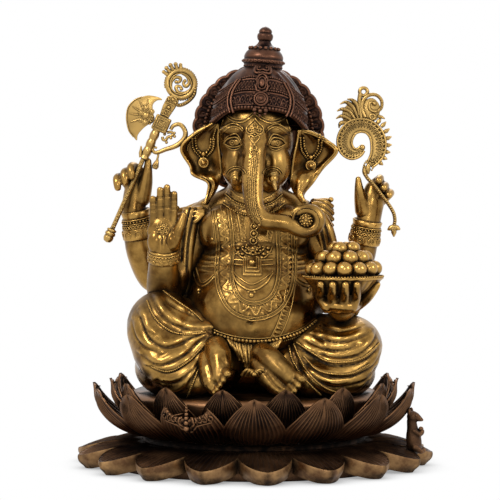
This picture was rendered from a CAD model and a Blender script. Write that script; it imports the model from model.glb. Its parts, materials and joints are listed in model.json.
"""A cast brass figure of a seated, elephant-headed deity on a lotus pedestal, dressed for rendering.

Lengths inside the classes are millimetres in the frame's own axes, and every mesh is scaled to
metres when it is handed over. +Z is up, -Y is the front, and heights marked as rise are above the
pedestal's deck.
"""

from __future__ import annotations

import json
import logging
import random
from dataclasses import dataclass, field
from enum import Enum
from math import cos, exp, pi, radians, sin, sqrt
from typing import Callable, Iterable, Optional, Sequence

import bmesh
import bpy
import numpy as np
from mathutils import Matrix, Vector
from mathutils.bvhtree import BVHTree


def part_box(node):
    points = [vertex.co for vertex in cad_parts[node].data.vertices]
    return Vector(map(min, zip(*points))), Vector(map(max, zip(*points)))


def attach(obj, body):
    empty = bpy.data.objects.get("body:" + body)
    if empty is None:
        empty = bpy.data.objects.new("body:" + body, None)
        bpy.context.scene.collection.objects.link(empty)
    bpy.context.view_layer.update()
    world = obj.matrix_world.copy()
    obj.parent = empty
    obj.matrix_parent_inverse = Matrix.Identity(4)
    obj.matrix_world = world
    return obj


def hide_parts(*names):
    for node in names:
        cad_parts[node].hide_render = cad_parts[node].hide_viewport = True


LOG = logging.getLogger("figure")
MM = 0.001
FAR = 400.0  # millimetres, beyond every side of the figure
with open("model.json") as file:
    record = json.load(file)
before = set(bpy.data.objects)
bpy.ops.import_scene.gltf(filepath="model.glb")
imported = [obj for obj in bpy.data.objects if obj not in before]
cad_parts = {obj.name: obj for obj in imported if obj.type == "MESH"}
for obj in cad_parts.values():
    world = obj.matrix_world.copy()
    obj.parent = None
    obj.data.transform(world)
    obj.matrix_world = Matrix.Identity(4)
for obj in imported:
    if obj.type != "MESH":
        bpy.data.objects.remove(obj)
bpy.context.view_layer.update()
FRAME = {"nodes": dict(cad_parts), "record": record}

Point = Sequence[float]
Fold = tuple[Sequence[Point], float, float]
Toe = tuple[Point, Point, Point, float]


# --- Places read from the frame --------------------------------------------------------------------


def corners(node: str) -> tuple[Vector, Vector]:
    """The lowest and highest corners of a construction node, in millimetres."""
    low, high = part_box(node)
    return Vector(low) / MM, Vector(high) / MM


def middle(node: str) -> Vector:
    """The middle of a construction node's box, in millimetres."""
    low, high = corners(node)
    return (low + high) / 2


DECK = corners("lotus_drum")[1].z


def smoothstep(low: float, high: float, value: float) -> float:
    """A smooth ramp from 0 at low to 1 at high."""
    share = min(1.0, max(0.0, (value - low) / (high - low)))
    return share * share * (3 - 2 * share)


def blend(first: float, last: float, share: float) -> float:
    """The value that lies share of the way from first to last."""
    return first + (last - first) * share


def curve_through(points: Sequence[Point], steps: int) -> list[Vector]:
    """Samples a smooth curve that passes through points.

    Args:
        points: The points, two or three numbers each.
        steps: How many samples each stretch between two points gets.

    Returns:
        The samples in order, the last point included.
    """
    knots = [Vector(p) for p in points]
    ends = [2 * knots[0] - knots[1], *knots, 2 * knots[-1] - knots[-2]]
    samples = []
    for before, start, end, after in zip(ends, ends[1:], ends[2:], ends[3:]):
        for step in range(steps):
            t = step / steps
            samples.append(
                0.5
                * (
                    2 * start
                    + (end - before) * t
                    + (2 * before - 5 * start + 4 * end - after) * t**2
                    + (3 * start - before - 3 * end + after) * t**3
                )
            )
    samples.append(knots[-1])
    return samples


def risen(points: Iterable[Point]) -> list[tuple[float, float]]:
    """Turns (x, rise) points into (x, z) points."""
    return [(x, DECK + rise) for x, rise in points]


def traced(points: Sequence[Point], steps: int = 7) -> list[tuple[float, float]]:
    """A smooth line through (x, rise) points, as (x, z) points."""
    return risen(p[:2] for p in curve_through(points, steps))


def raised(joints: Iterable[Point]) -> list[tuple[float, ...]]:
    """Lifts (x, y, rise, ...) joints onto the deck."""
    return [(j[0], j[1], j[2] + DECK, *j[3:]) for j in joints]


def spaced(path: Sequence[Vector], pitch: float) -> list[Vector]:
    """Places points along a path.

    Args:
        path: The path.
        pitch: How far apart they lie.

    Returns:
        The points, the path's first one included.
    """
    placed = [path[0]]
    left = pitch
    for start, end in zip(path, path[1:]):
        run = (end - start).length
        at = 0.0
        while run - at >= left:
            at += left
            placed.append(start.lerp(end, at / run))
            left = pitch
        left -= run - at
    return placed


# --- Modelling tools ------------------------------------------------------------------------------


def template(make: Callable[[bmesh.types.BMesh], object]) -> tuple[np.ndarray, np.ndarray]:
    """Makes a small mesh once, for copies of it.

    Args:
        make: Adds the shape to an empty mesh.

    Returns:
        Its points and its triangles.
    """
    shape = bmesh.new()
    make(shape)
    bmesh.ops.triangulate(shape, faces=shape.faces)
    points = np.array([v.co[:] for v in shape.verts])
    faces = np.array([[v.index for v in f.verts] for f in shape.faces])
    shape.free()
    return points, faces


GLOBE = template(lambda mesh: bmesh.ops.create_uvsphere(mesh, u_segments=24, v_segments=16, radius=1))
BAR = template(
    lambda mesh: bmesh.ops.create_cone(mesh, cap_ends=True, segments=24, radius1=1, radius2=1, depth=1)
)
BEAD = template(lambda mesh: bmesh.ops.create_icosphere(mesh, subdivisions=2, radius=1))


class Copies:
    """Copies of small meshes that are joined in one go."""

    def __init__(self) -> None:
        """Starts with none."""
        self.points: list[np.ndarray] = []
        self.faces: list[np.ndarray] = []
        self.count = 0

    def add(self, shape: tuple[np.ndarray, np.ndarray], place: Matrix, ends: Optional[Point] = None) -> None:
        """Adds one copy.

        Args:
            shape: The template's points and triangles.
            place: Where it goes.
            ends: The widths of a bar at its two ends, if it tapers.
        """
        points, faces = shape
        if ends:
            width = np.where(points[:, 2] < 0, ends[0], ends[1])
            points = np.column_stack((points[:, 0] * width, points[:, 1] * width, points[:, 2]))
        turn = np.array(place)
        self.points.append(points @ turn[:3, :3].T + turn[:3, 3])
        self.faces.append(faces + self.count)
        self.count += len(points)

    def mesh(self) -> bpy.types.Mesh:
        """The copies as one mesh."""
        points, faces = np.concatenate(self.points), np.concatenate(self.faces)
        made = bpy.data.meshes.new("copies")
        made.vertices.add(len(points))
        made.vertices.foreach_set("co", points.ravel())
        made.loops.add(faces.size)
        made.loops.foreach_set("vertex_index", faces.ravel())
        made.polygons.add(len(faces))
        made.polygons.foreach_set("loop_start", np.arange(0, faces.size, 3))
        made.update(calc_edges=True)
        return made


class Clay:
    """Soft forms that are pressed together and skinned as one smooth casting."""

    def __init__(self) -> None:
        """Starts with nothing on the board."""
        self.mesh = bmesh.new()
        self.lumps = Copies()

    def ball(self, centre: Point, radii: Point | float, turn: Optional[Matrix] = None) -> None:
        """Adds an ellipsoid.

        Args:
            centre: Its middle.
            radii: Its half sizes, or one radius.
            turn: How it is turned, if it is.
        """
        size = Vector((radii, radii, radii)) if isinstance(radii, (int, float)) else Vector(radii)
        place = Matrix.Translation(Vector(centre)) @ (turn or Matrix()) @ Matrix.Diagonal((*size, 1))
        self.lumps.add(GLOBE, place)

    def taper(self, start: Point, first: float, end: Point, last: float) -> None:
        """Adds a round bar between two points.

        Args:
            start: The middle of its first end.
            first: The radius there.
            end: The middle of its other end.
            last: The radius there.
        """
        a, b = Vector(start), Vector(end)
        run = b - a
        if run.length < 1e-6:
            return
        turn = run.to_track_quat("Z", "Y").to_matrix().to_4x4()
        place = Matrix.Translation((a + b) / 2) @ turn @ Matrix.Diagonal((1, 1, run.length, 1))
        self.lumps.add(BAR, place, (first, last))

    def chain(self, joints: Sequence[Point], steps: int = 1) -> None:
        """Adds a limb through (x, y, z, radius) joints, rounded at each one.

        Args:
            joints: The joints.
            steps: How many stretches a smooth curve gets between two joints, or 1 for straight ones.
        """
        points = [(Vector(j[:3]), j[3]) for j in joints]
        if steps > 1:
            places = curve_through([j[:3] for j in joints], steps)
            widths = curve_through([(j[3], 0, 0) for j in joints], steps)
            points = [(p, w.x) for p, w in zip(places, widths)]
        for place, radius in points:
            self.ball(place, radius)
        for (a, first), (b, last) in zip(points, points[1:]):
            self.taper(a, first, b, last)

    def skin(self, voxel: float, rounds: int = 4) -> bmesh.types.BMesh:
        """Turns the forms into one skin.

        Args:
            voxel: The size of the skin's facets.
            rounds: How many times the skin is smoothed.

        Returns:
            The skin as a new mesh.
        """
        if self.lumps.count:
            lumps = self.lumps.mesh()
            self.mesh.from_mesh(lumps)
            bpy.data.meshes.remove(lumps)
        mesh = bpy.data.meshes.new("clay")
        self.mesh.to_mesh(mesh)
        self.mesh.free()
        board = bpy.data.objects.new("clay", mesh)
        bpy.context.scene.collection.objects.link(board)
        remesh = board.modifiers.new("skin", "REMESH")
        remesh.mode = "VOXEL"
        remesh.voxel_size = voxel
        bpy.context.view_layer.update()
        skinned = bpy.data.meshes.new_from_object(board.evaluated_get(bpy.context.evaluated_depsgraph_get()))
        bpy.data.objects.remove(board)
        bpy.data.meshes.remove(mesh)
        result = bmesh.new()
        result.from_mesh(skinned)
        bpy.data.meshes.remove(skinned)
        for _ in range(rounds):
            bmesh.ops.smooth_vert(
                result, verts=result.verts, factor=0.5, use_axis_x=True, use_axis_y=True, use_axis_z=True
            )
        result.normal_update()
        return result


class Skin:
    """A surface that ornaments are laid on."""

    def __init__(self, mesh: bmesh.types.BMesh) -> None:
        """Keeps a search tree of mesh."""
        self.tree = BVHTree.FromBMesh(mesh)

    def cast(self, start: Vector, towards: Vector) -> Optional[tuple[Vector, Vector]]:
        """The point and normal where a ray first meets the surface, or None."""
        place, normal, _, _ = self.tree.ray_cast(start, towards)
        return None if place is None else (place, normal)

    def front(self, x: float, z: float) -> Optional[tuple[Vector, Vector]]:
        """The surface straight behind (x, z), as seen from the front."""
        return self.cast(Vector((x, -FAR, z)), Vector((0, 1, 0)))

    def nearest(self, place: Vector) -> tuple[Vector, Vector]:
        """The surface's nearest point to place, and its normal."""
        point, normal, _, _ = self.tree.find_nearest(place)
        return point, normal

    def lay(self, path: Iterable[Point], lift: float = 0.0) -> list[Vector]:
        """Lays a path on the surface, from the front.

        Args:
            path: Its (x, z) points.
            lift: How far off the surface it lies.

        Returns:
            The points that meet the surface.
        """
        laid = []
        for x, z in ((p[0], p[1]) for p in path):
            found = self.front(x, z)
            if found:
                laid.append(found[0] + found[1] * lift)
        return laid


@dataclass
class Stroke:
    """A line that is pushed into or raised out of a skin.

    Attributes:
        path: Its (u, v) points.
        profile: The height at each signed distance from the path, positive to the path's left.
        reach: How far from the path it has any effect.
    """

    path: Sequence[Point]
    profile: Callable[[np.ndarray], np.ndarray]
    reach: float = 8.0


def ridge(height: float, width: float) -> Callable[[np.ndarray], np.ndarray]:
    """A rounded ridge, or a groove where height is negative."""
    return lambda d: height * np.exp(-((d / width) ** 2))


def fold(height: float, width: float) -> Callable[[np.ndarray], np.ndarray]:
    """Gives a cloth fold, which swells on one side of its line and drops sharply on the other.

    Args:
        height: How high it swells.
        width: How wide it is; a negative one turns it over.

    Returns:
        The fold's profile.
    """

    def shape(d: np.ndarray) -> np.ndarray:
        """Gives the height of the fold.

        Args:
            d: Signed distances from its line.

        Returns:
            The height at each one.
        """
        swell = height * np.exp(-(((d - 0.55 * width) / width) ** 2))
        groove = -0.8 * height * np.exp(-(((d + 0.22 * width) / (0.24 * width)) ** 2))
        return swell + groove

    return shape


def carve(
    mesh: bmesh.types.BMesh,
    strokes: Sequence[Stroke],
    project: Callable[[np.ndarray], np.ndarray],
    weight: Callable[[np.ndarray, np.ndarray], np.ndarray],
) -> None:
    """Moves a skin's points along their normals by the strokes that pass near them.

    Args:
        mesh: The skin.
        strokes: The lines to carve.
        project: Turns points into the strokes' (u, v) coordinates.
        weight: How strongly a point is moved, from points and normals.
    """
    mesh.verts.ensure_lookup_table()
    places = np.array([v.co[:] for v in mesh.verts])
    normals = np.array([v.normal[:] for v in mesh.verts])
    flat = project(places)
    share = weight(places, normals)
    push = np.zeros(len(places))
    for stroke in strokes:
        path = np.array([tuple(p)[:2] for p in stroke.path])
        low, high = path.min(axis=0) - stroke.reach, path.max(axis=0) + stroke.reach
        near = np.nonzero(np.all((flat > low) & (flat < high), axis=1) & (share > 0.01))[0]
        if not len(near):
            continue
        spot = flat[near]
        best = np.full(len(near), 1e9)
        side = np.zeros(len(near))
        for a, b in zip(path, path[1:]):
            run = b - a
            length = max(1e-9, float(run @ run))
            t = np.clip((spot - a) @ run / length, 0, 1)
            gap = spot - (a + t[:, None] * run)
            far = np.hypot(gap[:, 0], gap[:, 1])
            closer = far < best
            best[closer] = far[closer]
            turn = run[0] * gap[:, 1] - run[1] * gap[:, 0]
            side[closer] = np.sign(turn)[closer]
        ends = np.hypot(*(spot - path[0]).T), np.hypot(*(spot - path[-1]).T)
        fade = np.clip(np.minimum(*ends) / (0.5 * stroke.reach), 0.15, 1) ** 0.7
        push[near] += np.where(best < stroke.reach, stroke.profile(best * side), 0) * fade
    moved = places + normals * (push * share)[:, None]
    for vert, place in zip(mesh.verts, moved):
        vert.co = place
    mesh.normal_update()


def seen_from_front(places: np.ndarray, normals: np.ndarray) -> np.ndarray:
    """Weights a point by how much it faces the front."""
    return np.clip(-normals[:, 1] * 2.2 - 0.1, 0, 1)


def front_view(places: np.ndarray) -> np.ndarray:
    """The (x, z) view of points."""
    return places[:, [0, 2]]


class Piece:
    """A finished piece of the casting, gathered from skins, patches, wires and beads."""

    def __init__(self, name: str) -> None:
        """Starts an empty piece.

        Args:
            name: The finished object's name.
        """
        self.name = name
        self.mesh = bmesh.new()
        self.wires: list[tuple[list[Vector], list[float], bool]] = []
        self.balls = Copies()

    def take(self, other: bmesh.types.BMesh) -> None:
        """Adds a mesh and frees it.

        Args:
            other: The mesh, which is gone afterwards.
        """
        held = bpy.data.meshes.new("held")
        other.to_mesh(held)
        other.free()
        self.mesh.from_mesh(held)
        bpy.data.meshes.remove(held)

    def bead(self, place: Point, radius: float, flat: float = 1.0, along: Optional[Vector] = None) -> None:
        """Adds a small ball.

        Args:
            place: Its middle.
            radius: Its radius.
            flat: Its thickness as a share of its width.
            along: The direction that it is flattened in, if it is.
        """
        turn = along.to_track_quat("Z", "Y").to_matrix().to_4x4() if along else Matrix()
        size = Matrix.Diagonal((radius, radius, radius * flat, 1))
        self.balls.add(BEAD, Matrix.Translation(Vector(place)) @ turn @ size)

    def beads(self, path: Sequence[Vector], radius: float, pitch: Optional[float] = None) -> None:
        """Strings beads along a path."""
        for place in spaced(path, pitch or 2.05 * radius):
            self.bead(place, radius)

    def wire(self, path: Sequence[Point], radius: float | Sequence[float], closed: bool = False) -> None:
        """Adds a round wire along a path.

        Args:
            path: Its points.
            radius: One radius, or one for each point.
            closed: Whether its end meets its start.
        """
        points = [Vector(p) for p in path]
        if len(points) < 2:
            return
        widths = [radius] * len(points) if isinstance(radius, (int, float)) else list(radius)
        self.wires.append((points, widths, closed))

    def trace(self, skin: Skin, points: Sequence[Point], lift: float, width: float, steps: int = 7) -> None:
        """Lays a smooth wire on a skin, seen from the front.

        Args:
            skin: What it lies on.
            points: Its (x, rise) points.
            lift: How far off the skin it lies.
            width: The wire's radius.
            steps: How many samples each stretch between two points gets.
        """
        self.wire(skin.lay(traced(points, steps), lift), width)

    def ring(self, centre: Point, radius: float, wire: float, normal: Point = (0, -1, 0)) -> None:
        """Adds a closed ring of wire.

        Args:
            centre: Its middle.
            radius: Its radius.
            wire: The wire's radius.
            normal: The direction that it faces.
        """
        turn = Vector(normal).to_track_quat("Z", "Y")
        spots = [
            Vector(centre) + turn @ Vector((radius * cos(a), radius * sin(a), 0))
            for a in np.linspace(0, 2 * pi, 20)[:-1]
        ]
        self.wire(spots, wire, closed=True)

    def patch(
        self, columns: int, rows: int, shape: Callable[[float, float], Point], thickness: float = 0.0
    ) -> None:
        """Adds a sheet that shape bends out of a flat grid.

        Args:
            columns: Its points across.
            rows: Its points along.
            shape: Gives the place of each (across, along) pair, both from 0 to 1.
            thickness: How thick the sheet is made, inwards, or 0 for none.
        """
        sheet = bmesh.new()
        bmesh.ops.create_grid(sheet, x_segments=columns - 1, y_segments=rows - 1, size=1)
        for vert in sheet.verts:
            vert.co = Vector(shape((vert.co.x + 1) / 2, (vert.co.y + 1) / 2))
        bmesh.ops.remove_doubles(sheet, verts=sheet.verts, dist=0.01)
        sheet.normal_update()
        if thickness:
            bmesh.ops.solidify(sheet, geom=sheet.faces, thickness=thickness)
            bmesh.ops.recalc_face_normals(sheet, faces=sheet.faces)
        self.take(sheet)

    def turned(self, profile: Sequence[Point], place: Matrix = Matrix(), steps: int = 48) -> None:
        """Adds a body of revolution.

        Args:
            profile: Its (radius, height) outline, from the axis back to the axis or closed.
            place: Where its own axis stands.
            steps: How many facets it has round.
        """
        spun = bmesh.new()
        verts = [spun.verts.new((r, 0, h)) for r, h in profile]
        edges = [spun.edges.new(pair) for pair in zip(verts, verts[1:])]
        bmesh.ops.spin(
            spun, geom=[*verts, *edges], cent=(0, 0, 0), axis=(0, 0, 1), angle=2 * pi, steps=steps,
            use_merge=True,
        )
        bmesh.ops.remove_doubles(spun, verts=spun.verts, dist=0.001)
        bmesh.ops.recalc_face_normals(spun, faces=spun.faces)
        bmesh.ops.transform(spun, matrix=place, verts=spun.verts)
        self.take(spun)

    def slab(self, outline: Sequence[Point], place: Matrix, thickness: float, soften: float = 0.0) -> None:
        """Adds a flat plate, centred on its plane.

        Args:
            outline: Its closed outline, (x, y).
            place: Where its plane lies.
            thickness: How thick it is.
            soften: How wide its edges are rounded, or 0 for sharp ones.
        """
        plate = bmesh.new()
        face = plate.faces.new([plate.verts.new((p[0], p[1], -thickness / 2)) for p in outline])
        grown = bmesh.ops.extrude_face_region(plate, geom=[face])
        tops = [g for g in grown["geom"] if isinstance(g, bmesh.types.BMVert)]
        bmesh.ops.translate(plate, verts=tops, vec=(0, 0, thickness))
        bmesh.ops.recalc_face_normals(plate, faces=plate.faces)
        if soften:
            rims = [e for e in plate.edges if len(e.link_faces) == 2 and e.calc_face_angle() > 1.2]
            bmesh.ops.bevel(
                plate, geom=rims, offset=soften, segments=2, profile=0.5, affect="EDGES", material=-1
            )
        bmesh.ops.triangulate(plate, faces=[f for f in plate.faces if len(f.verts) > 4])
        bmesh.ops.transform(plate, matrix=place, verts=plate.verts)
        self.take(plate)

    def _bend_wires(self) -> None:
        """Turns the piece's wires into mesh."""
        line = bpy.data.curves.new("wires", "CURVE")
        line.dimensions = "3D"
        line.bevel_depth = 1.0
        line.bevel_resolution = 2
        line.use_fill_caps = True
        for points, widths, closed in self.wires:
            spline = line.splines.new("POLY")
            spline.points.add(len(points) - 1)
            for spot, place, width in zip(spline.points, points, widths):
                spot.co = (*place, 1)
                spot.radius = width
            spline.use_cyclic_u = closed
        held = bpy.data.objects.new("wires", line)
        mesh = bpy.data.meshes.new_from_object(held)
        self.mesh.from_mesh(mesh)
        bpy.data.objects.remove(held)
        bpy.data.curves.remove(line)
        bpy.data.meshes.remove(mesh)

    def finish(
        self, material: bpy.types.Material, slot: str, body: str = "root", nodes: Sequence[str] = (),
        smooth: bool = True,
    ) -> bpy.types.Object:
        """Hands the piece over to the scene.

        Args:
            material: Its finish.
            slot: The record's material slot that it takes its finish from.
            body: The body that it moves with.
            nodes: The construction nodes that it stands for.
            smooth: Whether its faces are shaded smooth.

        Returns:
            The finished object.
        """
        if self.wires:
            self._bend_wires()
        if self.balls.count:
            balls = self.balls.mesh()
            self.mesh.from_mesh(balls)
            bpy.data.meshes.remove(balls)
        bmesh.ops.transform(self.mesh, matrix=Matrix.Scale(MM, 4), verts=self.mesh.verts)
        mesh = bpy.data.meshes.new(self.name)
        self.mesh.to_mesh(mesh)
        self.mesh.free()
        mesh.polygons.foreach_set("use_smooth", [smooth] * len(mesh.polygons))
        mesh.materials.append(material)
        made = bpy.data.objects.new(self.name, mesh)
        bpy.context.scene.collection.objects.link(made)
        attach(made, body)
        if nodes:
            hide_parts(*nodes)
        LOG.info("%s: %d faces", self.name, len(mesh.polygons))
        return made


# --- Finishes --------------------------------------------------------------------------------------


class Metal(Enum):
    """The record's material slots."""

    BODY = "body_brass"
    WRAP = "wrap_brass"
    PALE = "pale_brass"
    CROWN = "crown_bronze"
    PEDESTAL = "pedestal_bronze"
    STEEL = "fixing_steel"


def add_node(tree: bpy.types.NodeTree, kind: str, **values: object) -> bpy.types.Node:
    """Adds a node with its properties and inputs set.

    Args:
        tree: What it is added to.
        kind: Its type.
        values: Its settings by name; an underscore stands for the space in an input's name.

    Returns:
        The node.
    """
    new = tree.nodes.new(kind)
    for name, value in values.items():
        if hasattr(new, name):
            setattr(new, name, value)
        else:
            new.inputs[name.replace("_", " ")].default_value = value
    return new


@dataclass(frozen=True)
class Patina:
    """A cast metal finish: polished on what stands out, dark in what lies deep.

    Attributes:
        slot: The record's slot.
        bright: The colour of the polished high points.
        mid: The colour of open surfaces.
        dark: The colour of the patina in recesses.
        depth: How deep and near a recess must be to darken, in metres.
        darkness: How far the patina creeps out of the recesses.
        roughness: The least and most roughness of the polished metal.
        grain: How strong the fine bump is.
        cloud: How many colour clouds there are in a metre.
    """

    slot: Metal
    bright: tuple[float, float, float]
    mid: tuple[float, float, float]
    dark: tuple[float, float, float]
    depth: float = 0.007
    darkness: float = 0.9
    roughness: tuple[float, float] = (0.15, 0.33)
    grain: float = 0.12
    cloud: float = 38.0

    def material(self) -> bpy.types.Material:
        """Builds the finish's material."""
        made = bpy.data.materials.new(self.slot.value)
        made.use_nodes = True
        tree = made.node_tree
        shader = tree.nodes["Principled BSDF"]
        link = tree.links.new

        def ramp(
            source: bpy.types.NodeSocket, low: float, high: float, out: tuple[float, float]
        ) -> bpy.types.NodeSocket:
            """Maps a value onto another range.

            Args:
                source: The value's socket.
                low: The value that gives the first end of the range.
                high: The value that gives its other end.
                out: The two ends of the range.

            Returns:
                The mapped value's socket, which never leaves the range.
            """
            new = add_node(
                tree, "ShaderNodeMapRange", clamp=True, From_Min=low, From_Max=high, To_Min=out[0],
                To_Max=out[1],
            )
            link(source, new.inputs["Value"])
            return new.outputs["Result"]

        def mix(share: bpy.types.NodeSocket, a: object, b: object) -> bpy.types.NodeSocket:
            """Mixes two colours.

            Args:
                share: How much of the second one there is.
                a: The first one's socket, or its red, green and blue.
                b: The second one's.

            Returns:
                The mixed colour's socket.
            """
            new = add_node(tree, "ShaderNodeMix", data_type="RGBA")
            link(share, new.inputs["Factor"])
            for socket, value in ((new.inputs[6], a), (new.inputs[7], b)):
                if isinstance(value, bpy.types.NodeSocket):
                    link(value, socket)
                else:
                    socket.default_value = (*value, 1)
            return new.outputs[2]

        def math(kind: str, a: object, b: object) -> bpy.types.NodeSocket:
            """Joins two numbers.

            Args:
                kind: The operation.
                a: The first number's socket or value.
                b: The second one's.

            Returns:
                The result's socket, which stays between 0 and 1.
            """
            new = add_node(tree, "ShaderNodeMath", operation=kind, use_clamp=True)
            for socket, value in zip(new.inputs, (a, b)):
                if isinstance(value, bpy.types.NodeSocket):
                    link(value, socket)
                else:
                    socket.default_value = value
            return new.outputs[0]

        place = add_node(tree, "ShaderNodeTexCoord").outputs["Object"]
        cloud = add_node(tree, "ShaderNodeTexNoise", Scale=self.cloud, Detail=4.0, Roughness=0.6)
        speck = add_node(tree, "ShaderNodeTexNoise", Scale=620.0, Detail=3.0, Roughness=0.65)
        rub = add_node(tree, "ShaderNodeTexNoise", Scale=150.0, Detail=5.0, Roughness=0.7)
        stain = add_node(
            tree, "ShaderNodeTexNoise", Scale=self.cloud * 0.4, Detail=5.0, Roughness=0.62, Distortion=0.6
        )
        for noise in (cloud, speck, rub, stain):
            link(place, noise.inputs["Vector"])
        hollow = add_node(tree, "ShaderNodeAmbientOcclusion", samples=6, Distance=self.depth)
        crease = add_node(tree, "ShaderNodeAmbientOcclusion", samples=6, Distance=0.0022)
        sharp = add_node(tree, "ShaderNodeNewGeometry").outputs["Pointiness"]

        deep = ramp(hollow.outputs["AO"], 0.36, 0.96, (1.0, 0.0))
        fine = ramp(crease.outputs["AO"], 0.64, 0.99, (1.0, 0.0))
        groove = ramp(sharp, 0.45, 0.496, (1.0, 0.0))
        edge = ramp(sharp, 0.504, 0.54, (0.0, 1.0))
        ragged = ramp(rub.outputs["Fac"], 0.3, 0.7, (0.55, 1.25))
        dirt = math(
            "MULTIPLY", math("ADD", math("MAXIMUM", deep, fine), math("MULTIPLY", groove, 0.8)), ragged
        )
        dirt = math("MULTIPLY", dirt, self.darkness)
        dirt = math("MAXIMUM", dirt, ramp(stain.outputs["Fac"], 0.5, 0.72, (0.0, 0.55)))
        spots = ramp(cloud.outputs["Fac"], 0.36, 0.68, (0.0, 0.75))
        colour = mix(spots, self.mid, self.bright)
        colour = mix(math("MULTIPLY", edge, 0.8), colour, self.bright)
        colour = mix(dirt, colour, self.dark)
        link(colour, shader.inputs["Base Color"])
        shine = ramp(cloud.outputs["Fac"], 0.3, 0.7, self.roughness)
        link(math("ADD", shine, math("MULTIPLY", dirt, 0.4)), shader.inputs["Roughness"])
        link(math("SUBTRACT", 1.0, math("MULTIPLY", dirt, 0.12)), shader.inputs["Metallic"])
        bump = add_node(tree, "ShaderNodeBump", Strength=self.grain, Distance=0.0004)
        link(
            math("ADD", math("MULTIPLY", speck.outputs["Fac"], 0.5), rub.outputs["Fac"]),
            bump.inputs["Height"],
        )
        link(bump.outputs["Normal"], shader.inputs["Normal"])
        return made


FINISHES = {
    Metal.BODY: Patina(
        Metal.BODY, (0.58, 0.335, 0.088), (0.120, 0.057, 0.013), (0.012, 0.008, 0.006), depth=0.010,
        darkness=1.0,
    ),
    Metal.WRAP: Patina(
        Metal.WRAP, (0.58, 0.335, 0.088), (0.120, 0.057, 0.013), (0.012, 0.008, 0.006), depth=0.010,
        darkness=1.0,
    ),
    Metal.PALE: Patina(
        Metal.PALE, (0.58, 0.365, 0.115), (0.16, 0.086, 0.025), (0.014, 0.010, 0.007), depth=0.006,
        darkness=1.0, roughness=(0.26, 0.4),
    ),
    Metal.CROWN: Patina(
        Metal.CROWN, (0.18, 0.080, 0.045), (0.016, 0.009, 0.009), (0.007, 0.005, 0.005), depth=0.005,
        darkness=1.0, roughness=(0.3, 0.46), grain=0.2, cloud=70.0,
    ),
    Metal.PEDESTAL: Patina(
        Metal.PEDESTAL, (0.27, 0.135, 0.062), (0.018, 0.009, 0.008), (0.007, 0.005, 0.004), depth=0.009,
        darkness=1.0, roughness=(0.3, 0.48), grain=0.25, cloud=26.0,
    ),
    Metal.STEEL: Patina(
        Metal.STEEL, (0.62, 0.62, 0.60), (0.45, 0.45, 0.44), (0.05, 0.045, 0.04), darkness=0.5,
        roughness=(0.3, 0.45),
    ),
}
WORN = Patina(
    Metal.PEDESTAL, (0.56, 0.33, 0.14), (0.14, 0.070, 0.032), (0.012, 0.008, 0.006),
    depth=0.008, darkness=0.9, roughness=(0.3, 0.5), grain=0.3, cloud=60.0,
)
MATERIALS = {metal: finish.material() for metal, finish in FINISHES.items()}


def done(piece: Piece, metal: Metal, nodes: Sequence[str] = (), body: str = "root") -> bpy.types.Object:
    """Finishes a piece in one of the metals."""
    return piece.finish(MATERIALS[metal], metal.value, body, nodes)


# --- Pedestal --------------------------------------------------------------------------------------


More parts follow.
